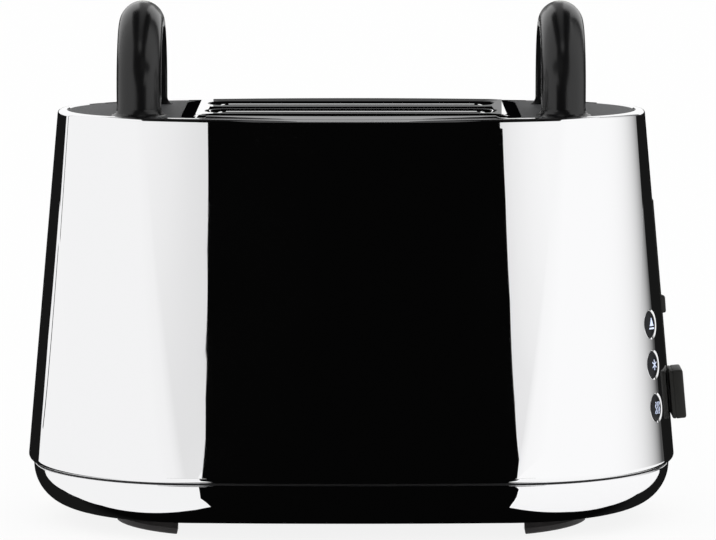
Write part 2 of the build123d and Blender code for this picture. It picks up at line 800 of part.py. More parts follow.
export_step(carriage_bracket.part, "parts/carriage_bracket.step")

# Bush on the guide rod
with BuildPart() as carriage_bush:
    with BuildSketch(level(bracket_low_z - bush_overhang)):
        with Locations((rod_x, 0)):
            Circle(bush_radius)
            Circle(rod_radius + running_gap, mode=Mode.SUBTRACT)
    extrude(amount=bracket_top_z - bracket_low_z + 2 * bush_overhang)
carriage_bush.part.label = "carriage_bush"
export_step(carriage_bush.part, "parts/carriage_bush.step")

# Lift spring, from the upper shelf to the deck, drawn as its outside with an open bore
with BuildPart() as lift_spring:
    with BuildSketch(level(bracket_top_z)):
        with Locations((spring_x, 0)):
            Circle(spring_radius)
            Circle(spring_radius - spring_wire, mode=Mode.SUBTRACT)
    extrude(amount=deck_low_z - bracket_top_z)
lift_spring.part.label = "lift_spring"
export_step(lift_spring.part, "parts/lift_spring.step")

# Latch: the armature under the carriage, and the magnet on the base plate
with BuildPart() as latch_armature:
    with BuildSketch(level(bracket_low_z - armature_thickness)):
        with Locations((armature_x + bush_radius - rod_radius + armature_length / 2, 0)):
            Rectangle(armature_length, 2 * armature_half_width)
    extrude(amount=armature_thickness)
latch_armature.part.label = "latch_armature"
export_step(latch_armature.part, "parts/latch_armature.step")

magnet_x = armature_x + bush_radius - rod_radius + armature_length / 2
magnet_top_z = bracket_low_z - armature_thickness - seat_gap
with BuildPart() as latch_magnet:
    with BuildSketch(level(base_plate_top_z)):
        with Locations((magnet_x, 0)):
            Rectangle(magnet_length, 2 * magnet_half_width)
    extrude(amount=magnet_top_z - magnet_core_height - base_plate_top_z)
    with BuildSketch(level(magnet_top_z - magnet_core_height)):
        with Locations((magnet_x, 0)):
            Circle(magnet_core_radius)
    extrude(amount=magnet_core_height)
latch_magnet.part.label = "latch_magnet"
export_step(latch_magnet.part, "parts/latch_magnet.step")

# Lever: the knob outside, parallel to the wall, and the stem that carries it
knob_plane = wall_plane(0, knob_z)
stem_tip_x = wall_x_at_knob + knob_gap + knob_pocket_depth
stem_start_x = shelf_end_x + bracket_thickness
with BuildPart() as lever_stem:
    with BuildSketch(across(stem_start_x)):
        with Locations((0, knob_z)):
            Rectangle(stem_thickness, stem_height)
    extrude(amount=stem_tip_x - stem_start_x)
lever_stem.part.label = "lever_stem"
export_step(lever_stem.part, "parts/lever_stem.step")

with BuildPart() as lever_knob:
    with BuildSketch(knob_plane.offset(knob_gap)):
        Rectangle(knob_height - 2 * knob_neck_inset, 2 * (knob_half_width - knob_neck_inset))
    extrude(amount=knob_neck_depth)
    with BuildSketch(knob_plane.offset(knob_gap + knob_neck_depth)):
        Rectangle(knob_height, 2 * knob_half_width)
    extrude(amount=knob_depth - knob_neck_depth)
    outer_face = lever_knob.faces().sort_by(Axis.X)[-1]
    fillet(outer_face.edges(), knob_round)
    with BuildSketch(across(stem_tip_x + seat_gap)):
        with Locations((0, knob_z)):
            Rectangle(stem_thickness + 2 * running_gap, stem_height + 2 * running_gap)
    extrude(amount=-2 * knob_depth, mode=Mode.SUBTRACT)
lever_knob.part.label = "lever_knob"
export_step(lever_knob.part, "parts/lever_knob.step")

# Black trim that lines the lever's slot in the shell
with BuildPart() as lever_trim:
    with BuildSketch(lever_plane.offset(-trim_depth)):
        Rectangle(trim_length, trim_width)
        Rectangle(lever_slot_length, lever_slot_width, mode=Mode.SUBTRACT)
    extrude(amount=trim_depth + trim_proud)
lever_trim.part.label = "lever_trim"
export_step(lever_trim.part, "parts/lever_trim.step")

# Push buttons and their chrome rings
for (button_name, height), plane in zip(buttons, button_planes):
    with BuildPart() as button:
        with BuildSketch(plane.offset(-button_back)):
            Circle(button_radius)
        extrude(amount=button_back + button_proud)
        fillet(button.edges().sort_by(Axis(plane.origin, plane.z_dir))[-1], button_edge_round)
        with BuildSketch(plane.offset(-button_stem_end)):
            Circle(button_stem_radius)
        extrude(amount=button_stem_end - button_back)
    button.part.label = f"button_{button_name}"
    export_step(button.part, f"parts/button_{button_name}.step")
    with BuildPart() as ring:
        with BuildSketch(plane.offset(-ring_depth)):
            Circle(ring_radius)
            Circle(ring_radius - ring_wall, mode=Mode.SUBTRACT)
        extrude(amount=ring_depth + ring_proud)
        rim_edges = ring.edges().group_by(Axis(plane.origin, plane.z_dir))[-1]
        fillet(rim_edges, ring_edge_round)
    ring.part.label = f"ring_{button_name}"
    export_step(ring.part, f"parts/ring_{button_name}.step")

# Housing that guides the buttons behind the wall
middle_plane = button_planes[1]
housing_length = (buttons[0][1] - buttons[-1][1]) / cos(wall_lean) + 2 * housing_margin
board_front = button_stem_end + button_travel + switch_gap + switch_height
with BuildPart() as button_housing:
    with BuildSketch(middle_plane.offset(-housing_back)):
        Rectangle(housing_length, 2 * housing_half_width)
    extrude(amount=housing_back - housing_front)
    for plane in button_planes:
        with BuildSketch(plane.offset(-housing_floor)):
            Circle(ring_radius + seat_gap / 2)
        extrude(amount=housing_floor, mode=Mode.SUBTRACT)
        with BuildSketch(plane.offset(-button_stem_end)):
            Circle(button_stem_radius + seat_gap / 2)
        extrude(amount=button_stem_end, mode=Mode.SUBTRACT)
    post_offset = housing_length / 2 - housing_post_inset
    with BuildSketch(middle_plane.offset(-board_front)):
        with Locations((post_offset, 0), (-post_offset, 0)):
            Circle(housing_post_radius)
    extrude(amount=board_front - housing_back)
button_housing.part.label = "button_housing"
export_step(button_housing.part, "parts/button_housing.step")

with BuildPart() as button_board:
    with BuildSketch(middle_plane.offset(-board_front - board_thickness)):
        Rectangle(housing_length, 2 * housing_half_width)
    extrude(amount=board_thickness)
button_board.part.label = "button_board"
export_step(button_board.part, "parts/button_board.step")

with BuildPart() as button_switches:
    for plane in button_planes:
        switch_place = middle_plane.to_local_coords(plane.origin)
        with BuildSketch(middle_plane.offset(-board_front)):
            with Locations((switch_place.X, switch_place.Y)):
                Rectangle(2 * switch_half_width, 2 * switch_half_width)
        extrude(amount=switch_height)
button_switches.part.label = "button_switches"
export_step(button_switches.part, "parts/button_switches.step")

# Browning slider and its potentiometer
with BuildPart() as browning_slider:
    with BuildSketch(slider_plane.offset(slider_gap)):
        RectangleRounded(slider_height, slider_width, slider_round)
    extrude(amount=slider_depth)
    slider_axis = Axis(slider_plane.origin, slider_plane.z_dir)
    fillet(browning_slider.edges().group_by(slider_axis)[-1], slider_round / 2)
    with BuildSketch(slider_plane.offset(-slider_stem_end)):
        Rectangle(slider_stem_height, slider_stem_thickness)
    extrude(amount=slider_stem_end + slider_gap)
browning_slider.part.label = "browning_slider"
export_step(browning_slider.part, "parts/browning_slider.step")

with BuildPart() as slide_pot:
    with BuildSketch(slider_plane.offset(-pot_back)):
        with Locations((slider_slot_offset, 0)):
            Rectangle(slider_slot_length + 2 * pot_margin, pot_width)
    extrude(amount=pot_back - pot_front)
    with BuildSketch(slider_plane.offset(-slider_stem_end - slide_gap)):
        with Locations((slider_slot_offset, 0)):
            Rectangle(slider_slot_length, slider_slot_width)
    extrude(amount=slider_stem_end + slide_gap, mode=Mode.SUBTRACT)
slide_pot.part.label = "slide_pot"
export_step(slide_pot.part, "parts/slide_pot.step")

# Control board on stand-offs outside the right chassis plate
standoff_x = chassis_x + chassis_thickness
control_board_x = standoff_x + standoff_length
board_mid_z = (control_board_low_z + control_board_high_z) / 2
standoff_dy = control_board_half_width - standoff_inset
standoff_dz = (control_board_high_z - control_board_low_z) / 2 - standoff_inset
with BuildPart() as control_board:
    with BuildSketch(across(control_board_x)):
        with Locations((control_board_y, board_mid_z)):
            Rectangle(2 * control_board_half_width, control_board_high_z - control_board_low_z)
    extrude(amount=board_thickness)
control_board.part.label = "control_board"
export_step(control_board.part, "parts/control_board.step")

with BuildPart() as board_standoffs:
    with BuildSketch(across(standoff_x)):
        with Locations((control_board_y, board_mid_z)):
            with GridLocations(2 * standoff_dy, 2 * standoff_dz, 2, 2):
                Circle(standoff_radius)
    extrude(amount=standoff_length)
board_standoffs.part.label = "board_standoffs"
export_step(board_standoffs.part, "parts/board_standoffs.step")

component_x = control_board_x + board_thickness
with BuildPart() as board_components:
    for place_z, (depth, width, tall) in ((board_mid_z - component_pitch, transformer_size),
                                          (board_mid_z + component_pitch, relay_size)):
        with BuildSketch(across(component_x)):
            with Locations((control_board_y, place_z)):
                Rectangle(width, tall)
        extrude(amount=depth)
    with BuildSketch(across(component_x)):
        with Locations((control_board_y, board_mid_z)):
            Circle(capacitor_radius)
    extrude(amount=capacitor_length)
board_components.part.label = "board_components"
export_step(board_components.part, "parts/board_components.step")

# Cord gland in the shell, and the terminal block behind it
with BuildPart() as cord_gland:
    with BuildSketch(gland_plane):
        Circle(gland_flange_radius)
    extrude(amount=gland_flange)
    with BuildSketch(gland_plane.offset(-gland_sleeve)):
        Circle(gland_neck_radius)
    extrude(amount=gland_sleeve)
    with BuildSketch(gland_plane.offset(-gland_groove - gland_flange)):
        Circle(gland_flange_radius)
    extrude(amount=gland_flange)
    with BuildSketch(gland_plane.offset(-gland_sleeve)):
        Circle(gland_bore_radius)
    extrude(amount=gland_sleeve + gland_flange, mode=Mode.SUBTRACT)
cord_gland.part.label = "cord_gland"
export_step(cord_gland.part, "parts/cord_gland.step")

terminal_length, terminal_depth, terminal_height = terminal_size
terminal_pitch = terminal_length / terminal_screws
with BuildPart() as terminal_block:
    with BuildSketch(level(base_plate_top_z)):
        with Locations((terminal_x, 0)):
            Rectangle(terminal_length, terminal_depth)
    extrude(amount=terminal_height)
    with BuildSketch(level(base_plate_top_z + terminal_height)):
        with Locations((terminal_x, 0)):
            with GridLocations(terminal_pitch, 1, terminal_screws, 1):
                Circle(terminal_screw_radius)
    extrude(amount=-terminal_height / 2, mode=Mode.SUBTRACT)
terminal_block.part.label = "terminal_block"
export_step(terminal_block.part, "parts/terminal_block.step")

# Crumb tray: its front is a piece of the bowl's own wall
tray_box_back = hem_half_width - tray_back_y
with BuildPart() as crumb_tray:
    with BuildSketch(level(tray_floor_z)):
        with Locations((0, tray_back_y + tray_box_back / 2)):
            Rectangle(2 * tray_half_width, tray_box_back)
    extrude(amount=tray_wall_height)
    with BuildSketch(level(tray_floor_z + tray_floor)):
        with Locations((0, tray_back_y + tray_wall + tray_box_back / 2)):
            Rectangle(2 * (tray_half_width - tray_wall), tray_box_back)
    extrude(amount=tray_wall_height, mode=Mode.SUBTRACT)
    tray_front_y = base_outline[1] - base_wall - tray_front_thickness
    with BuildSketch(along(hem_half_width)):
        with Locations((0, (tray_front_low_z + tray_front_high_z) / 2)):
            Rectangle(2 * tray_front_half_width, tray_front_high_z - tray_front_low_z)
    extrude(amount=hem_half_width - tray_front_y)
    add(bowl_outside, mode=Mode.INTERSECT)
    with BuildSketch(level(tray_front_low_z)):
        with Locations((0, base_outline[1])):
            Circle(pull_radius)
    extrude(amount=pull_depth, mode=Mode.SUBTRACT)
crumb_tray.part.label = "crumb_tray"
export_step(crumb_tray.part, "parts/crumb_tray.step")

# Rails that carry the tray, on the bowl's floor
rail_x = tray_half_width + slide_gap
rail_length = post_y - tray_back_y
with BuildPart() as tray_rails:
    for side in (-1, 1):
        with BuildSketch(level(base_inside_z)):
            with Locations((side * (rail_x + rail_wall / 2), tray_back_y + rail_length / 2)):
                Rectangle(rail_wall, rail_length)
        extrude(amount=rail_height)
        with BuildSketch(level(base_inside_z)):
            with Locations((side * (rail_x + rail_wall - rail_ledge / 2), tray_back_y + rail_length / 2)):
                Rectangle(rail_ledge, rail_length)
        extrude(amount=tray_floor_z - seat_gap - base_inside_z)
tray_rails.part.label = "tray_rails"
export_step(tray_rails.part, "parts/tray_rails.step")
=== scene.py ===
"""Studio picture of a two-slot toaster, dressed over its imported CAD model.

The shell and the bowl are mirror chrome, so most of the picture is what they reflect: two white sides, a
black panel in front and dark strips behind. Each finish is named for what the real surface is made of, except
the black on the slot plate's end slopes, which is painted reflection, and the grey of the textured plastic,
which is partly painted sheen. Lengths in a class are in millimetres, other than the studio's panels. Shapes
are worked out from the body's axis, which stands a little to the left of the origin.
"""

import json
import logging
import math
from dataclasses import dataclass
from enum import Enum
from typing import ClassVar, Sequence

import bmesh
import bpy
import numpy as np
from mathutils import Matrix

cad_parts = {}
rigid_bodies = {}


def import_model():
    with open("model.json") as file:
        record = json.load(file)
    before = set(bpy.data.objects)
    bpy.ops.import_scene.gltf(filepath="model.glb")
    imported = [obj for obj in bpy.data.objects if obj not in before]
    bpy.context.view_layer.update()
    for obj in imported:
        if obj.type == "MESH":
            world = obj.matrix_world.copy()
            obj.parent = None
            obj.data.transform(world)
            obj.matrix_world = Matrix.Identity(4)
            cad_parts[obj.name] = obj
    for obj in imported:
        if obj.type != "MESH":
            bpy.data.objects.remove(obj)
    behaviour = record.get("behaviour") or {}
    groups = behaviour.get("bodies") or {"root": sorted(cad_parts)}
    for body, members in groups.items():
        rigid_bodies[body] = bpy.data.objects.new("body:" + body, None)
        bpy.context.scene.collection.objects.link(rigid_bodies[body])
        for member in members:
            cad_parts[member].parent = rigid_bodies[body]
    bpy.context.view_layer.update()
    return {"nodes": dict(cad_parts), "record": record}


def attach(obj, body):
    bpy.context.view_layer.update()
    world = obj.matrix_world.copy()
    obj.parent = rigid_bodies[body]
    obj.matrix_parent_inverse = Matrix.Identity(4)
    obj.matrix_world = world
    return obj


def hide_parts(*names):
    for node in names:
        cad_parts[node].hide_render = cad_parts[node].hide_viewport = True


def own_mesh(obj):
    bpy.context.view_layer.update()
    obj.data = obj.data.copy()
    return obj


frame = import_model()

log = logging.getLogger("toaster")
MM = 0.001
BODY_X = -2.891
Array = np.ndarray
Outline = tuple[tuple[float, ...], ...]


class Body(Enum):
    """The moving bodies that pieces ride on."""

    SHELL = "toaster_body"
    CARRIAGE = "carriage"
    TRAY = "tray"
    EJECT = "eject_key"
    DEFROST = "defrost_key"
    REHEAT = "reheat_key"


class Symbol(Enum):
    """The generic pictures on the three keys."""

    EJECT = "eject"
    SNOW = "defrost"
    HEAT = "reheat"


# Nodes and materials


def linear(colour: str) -> tuple[float, float, float, float]:
    """Turn an sRGB hex colour into the linear values that shaders take.

    Args:
        colour: six hex digits after a hash.

    Returns:
        Linear red, green and blue, and an alpha of one.
    """
    srgb = [int(colour[i:i + 2], 16) / 255 for i in (1, 3, 5)]
    return (*(c / 12.92 if c <= 0.04045 else ((c + 0.055) / 1.055) ** 2.4 for c in srgb), 1.0)


def add_node(tree: bpy.types.NodeTree, kind: str, links: dict | None = None,
             values: dict | None = None, **settings: object) -> bpy.types.Node:
    """Add one node, with its settings, its socket values and its incoming links.

    Args:
        tree: the node tree that it goes into.
        kind: the node's type name, without the common start.
        links: socket name or number, and the output socket that feeds it.
        values: socket name or number, and the constant it holds.
        settings: the node's own properties.

    Returns:
        The new node.
    """
    node = tree.nodes.new("ShaderNode" + kind)
    for name, value in settings.items():
        setattr(node, name, value)
    for name, value in (values or {}).items():
        node.inputs[name].default_value = value
    for name, output in (links or {}).items():
        tree.links.new(output, node.inputs[name])
    return node


def new_material(name: str) -> tuple[bpy.types.Material, bpy.types.NodeTree, bpy.types.Node]:
    """Make an empty node material.

    Args:
        name: the material's name.

    Returns:
        The material, its node tree and its output node.
    """
    material = bpy.data.materials.new(name)
    material.use_nodes = True
    tree = material.node_tree
    tree.nodes.clear()
    return material, tree, add_node(tree, "OutputMaterial")


@dataclass(frozen=True)
class Finish:
    """A surface finish: base colour, gloss, and the fine texture that the real process leaves.

    Grains are feature sizes in millimetres. Stretch scales the pattern along each axis, so a small
    value draws it out into lines that way.
    """

    name: str
    colour: str
    roughness: float
    metallic: float = 0.0
    second_colour: str | None = None
    colour_grain: float = 4.0
    roughness_spread: float = 0.0
    roughness_grain: float = 20.0
    bump_grain: float = 1.0
    bump_height: float = 0.0
    stretch: tuple[float, float, float] = (1.0, 1.0, 1.0)
    glow: float = 0.0
    specular: float = 0.5
    # Where a noise value turns fully into either colour, and the span in which most values lie.
    RAMP_ENDS: ClassVar[tuple[float, float]] = (0.35, 0.68)
    NOISE_ENDS: ClassVar[tuple[float, float]] = (0.3, 0.7)

    def build(self) -> bpy.types.Material:
        """Make the material from noise patterns in object space.

        Returns:
            The new material.
        """
        material, tree, output = new_material(self.name)
        place = add_node(tree, "TexCoord").outputs["Object"]
        if self.stretch != (1.0, 1.0, 1.0):
            place = add_node(tree, "Mapping", {"Vector": place}, {"Scale": self.stretch}).outputs["Vector"]
        shader = add_node(tree, "BsdfPrincipled", values={
            "Base Color": linear(self.colour), "Roughness": self.roughness, "Metallic": self.metallic,
            "Specular IOR Level": self.specular})
        if self.glow:
            shader.inputs["Emission Color"].default_value = linear(self.colour)
            shader.inputs["Emission Strength"].default_value = self.glow
        if self.second_colour:
            spots = add_node(tree, "TexNoise", {"Vector": place},
                             {"Scale": 1 / (self.colour_grain * MM), "Detail": 4.0})
            ramp = add_node(tree, "ValToRGB", {"Fac": spots.outputs["Fac"]})
            for element, position, colour in zip(ramp.color_ramp.elements, self.RAMP_ENDS,
                                                 (self.colour, self.second_colour)):
                element.position = position
                element.color = linear(colour)
            tree.links.new(ramp.outputs["Color"], shader.inputs["Base Color"])
        if self.roughness_spread:
            cloud = add_node(tree, "TexNoise", {"Vector": place},
                             {"Scale": 1 / (self.roughness_grain * MM), "Detail": 3.0})
            spread = add_node(tree, "MapRange", {"Value": cloud.outputs["Fac"]}, {
                "From Min": self.NOISE_ENDS[0], "From Max": self.NOISE_ENDS[1],
                "To Min": max(self.roughness - self.roughness_spread, 0.0),
                "To Max": self.roughness + self.roughness_spread})
            tree.links.new(spread.outputs["Result"], shader.inputs["Roughness"])
        if self.bump_height:
            pores = add_node(tree, "TexNoise", {"Vector": place},
                             {"Scale": 1 / (self.bump_grain * MM), "Detail": 2.0})
            bump = add_node(tree, "Bump", {"Height": pores.outputs["Fac"]},
                            {"Strength": 1.0, "Distance": self.bump_height * MM})
            tree.links.new(bump.outputs["Normal"], shader.inputs["Normal"])
        tree.links.new(shader.outputs["BSDF"], output.inputs["Surface"])
        return material


# Meshes


def loft(rings: Array, looped: bool = False, capped: bool = True) -> tuple[Array, list[list[int]]]:
    """Join rings of points into a surface.

    Face (i, j) joins ring i to ring i + 1 and point j to point j + 1, and both counts wrap where
    the surface is closed that way.

    Args:
        rings: m by n by 3 points.
        looped: whether the last ring joins the first.
        capped: whether the end rings are closed by flat faces, where it isn't looped.

    Returns:
        The points in one list, and the faces.
    """
    count, around = rings.shape[:2]
    rows = np.arange(count if looped else count - 1)[:, None]
    columns = np.arange(around)[None, :]
    after_row, after_column = (rows + 1) % count, (columns + 1) % around
    quads = np.stack(np.broadcast_arrays(rows * around + columns, rows * around + after_column,
                                         after_row * around + after_column, after_row * around + columns), -1)
    faces = quads.reshape(-1, 4).tolist()
    if capped and not looped:
        faces += [list(range(around))[::-1], list(range((count - 1) * around, count * around))]
    return rings.reshape(-1, 3), faces


def joined(parts: Sequence[tuple[Array, list[list[int]]]]) -> tuple[Array, list[list[int]]]:
    """Put several closed surfaces into one list of points and one of faces.

    Args:
        parts: the points and the faces of each surface.

    Returns:
        All the points, and all the faces with their corners counted on.
    """
    points, faces, start = [], [], 0
    for part_points, part_faces in parts:
        points.append(part_points)
        faces += [[index + start for index in face] for face in part_faces]
        start += len(part_points)
    return np.concatenate(points), faces


def new_mesh(name: str, points: Array, faces: list[list[int]], sharp: float = 40.0) -> bpy.types.Mesh:
    """Make a mesh in metres from points in millimetres off the body's axis.

    Args:
        name: the mesh's name.
        points: n by 3 positions.
        faces: the corners of each face.
        sharp: the angle in degrees past which an edge stays sharp.

    Returns:
        The mesh, with its faces turned outwards.
    """
    mesh = bpy.data.meshes.new(name)
    mesh.from_pydata(((points + (BODY_X, 0, 0)) * MM).tolist(), [], faces)
    turn_outwards(mesh, sharp)
    return mesh


def turn_outwards(mesh: bpy.types.Mesh, sharp: float = 40.0, merge: float = 0.0,
                  recalculate: bool = True) -> None:
    """Merge a mesh's doubles, turn its faces outwards and smooth it up to an angle.

    Args:
        mesh: the mesh.
        sharp: the angle in degrees past which an edge stays sharp.
        merge: how far apart doubles may be, in millimetres, or nought for none.
        recalculate: whether the faces are turned, which a mesh that already points right doesn't need.
    """
    form = bmesh.new()
    form.from_mesh(mesh)
    if merge:
        bmesh.ops.remove_doubles(form, verts=form.verts, dist=merge * MM)
    if recalculate:
        bmesh.ops.recalc_face_normals(form, faces=form.faces)
    form.to_mesh(mesh)
    form.free()
    mesh.polygons.foreach_set("use_smooth", np.ones(len(mesh.polygons), dtype=bool))
    mesh.set_sharp_from_angle(angle=math.radians(sharp))
    mesh.update()


def place_piece(name: str, mesh: bpy.types.Mesh, body: str, replaces: Sequence[str] = (),
                materials: Sequence[bpy.types.Material] = ()) -> bpy.types.Object:
    """Put a mesh into the scene as a piece that rides on a body.

    Args:
        name: the piece's name.
        mesh: its mesh.
        body: the CAD body that it rides on.
        replaces: the CAD nodes that it stands for.
        materials: its materials, in the order of the faces' indices.

    Returns:
        The new piece.
    """
    piece = bpy.data.objects.new(name, mesh)
    bpy.context.scene.collection.objects.link(piece)
    mesh.materials.clear()
    for material in materials:
        mesh.materials.append(material)
    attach(piece, body)
    if replaces:
        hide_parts(*replaces)
    log.info("built %s", name)
    return piece


def cut(mesh: bpy.types.Mesh, cutters: bpy.types.Mesh) -> bpy.types.Mesh:
    """Cut one mesh away from another.

    Args:
        mesh: what is cut.
        cutters: the closed surfaces of the tools.

    Returns:
        What is left.
    """
    scene = bpy.context.scene.collection.objects
    target, tool = (bpy.data.objects.new("cutting", m) for m in (mesh, cutters))
    scene.link(target)
    scene.link(tool)
    boolean = target.modifiers.new("cut", "BOOLEAN")
    boolean.operation = "DIFFERENCE"
    boolean.solver = "EXACT"
    boolean.object = tool
    bpy.context.view_layer.update()
    left = bpy.data.meshes.new_from_object(target.evaluated_get(bpy.context.evaluated_depsgraph_get()))
    left.name = mesh.name
    for helper in (target, tool):
        bpy.data.objects.remove(helper)
    return left


# The body's ovals


def oval_ring(oval: Sequence[float], height: float, end_steps: int = 88, side_steps: int = 40) -> Array:
    """Points round a four-arc oval.

    An end arc is its centre plus its radius at even turns within its sweep. A side arc does the
    same from its own far centre, between the two end arcs.

    Args:
        oval: half length, half width and end radius.
        height: the height of every point.
        end_steps: how many points lie on each end arc.
        side_steps: how many points lie on each side arc.

    Returns:
        n by 3 points, counter-clockwise from the right front.
    """
    half_length, half_width, end_radius = oval
    run = half_length - end_radius
    side_radius = (run ** 2 + half_width ** 2 - end_radius ** 2) / (2 * (half_width - end_radius))
    drop = side_radius - half_width
    sweep = math.atan2(drop, run)
    arcs = []
    for turn, centre, radius, reach, steps in (
            (0.0, (run, 0.0), end_radius, sweep, end_steps),
            (math.pi / 2, (0.0, -drop), side_radius, math.pi / 2 - sweep, side_steps),
            (math.pi, (-run, 0.0), end_radius, sweep, end_steps),
            (3 * math.pi / 2, (0.0, drop), side_radius, math.pi / 2 - sweep, side_steps)):
        angles = turn + np.linspace(-reach, reach, steps, endpoint=False)
        arcs.append(np.column_stack([centre[0] + radius * np.cos(angles),
                                     centre[1] + radius * np.sin(angles)]))
    flat = np.concatenate(arcs)
    return np.column_stack([flat, np.full(len(flat), height)])


@dataclass(frozen=True)
class WallFrame:
    """A place on an end wall, with directions up the wall, along it and outwards."""

    origin: Array
    up: Array
    side: Array
    out: Array

    def spot(self, up: Array | float, side: Array | float, out: Array | float) -> Array:
        """Points at distances up the wall, along it and out of it."""
        parts = np.stack(np.broadcast_arrays(up, side, out), -1)[..., None]
        return self.origin + np.sum(parts * np.stack([self.up, self.side, self.out]), -2)

    def turned(self, profile: Sequence[tuple[float, float]], looped: bool = False,
               steps: int = 64, bend: float = math.inf) -> tuple[Array, list[list[int]]]:
        """Spin a profile of radius and distance out of the wall about the outward axis.

        A bend lowers each point by the square of its distance to the side over twice the wall's
        own radius there, so that the piece follows the wall round.

        Args:
            profile: radius and distance out of the wall, point by point.
            looped: whether the last point joins the first.
            steps: how many points lie round each circle.
            bend: the wall's own radius round the body, or infinity for a flat wall.

        Returns:
            The points and the faces.
        """
        angles = np.linspace(0, 2 * math.pi, steps, endpoint=False)[None, :]
        radius, out = np.asarray(profile, float).T[:, :, None]
        side = radius * np.sin(angles)
        return loft(self.spot(radius * np.cos(angles), side, out - side ** 2 / (2 * bend)), looped)

    def stroke(self, path: Array, width: float, low: float, high: float) -> tuple[Array, list[list[int]]]:
        """Draw a flat bar along a path on the wall.

        Each point moves half the width to either side of the path's own direction there, and the
        outline is carried from one distance out of the wall to another.

        Args:
            path: n by 2 places, up the wall and along it.
            width: the bar's width.
            low: where its back lies, out of the wall.
            high: where its face lies.

        Returns:
            The points and the faces.
        """
        step = np.gradient(path, axis=0)
        across = np.column_stack([-step[:, 1], step[:, 0]]) / np.linalg.norm(step, axis=1, keepdims=True)
        outline = np.concatenate([path + across * width / 2, (path - across * width / 2)[::-1]])
        return self.plate(outline, low, high)

    def plate(self, outline: Array, low: float, high: float) -> tuple[Array, list[list[int]]]:
        """A flat plate with a given outline on the wall."""
        return loft(np.stack([self.spot(outline[:, 0], outline[:, 1], out) for out in (low, high)]))


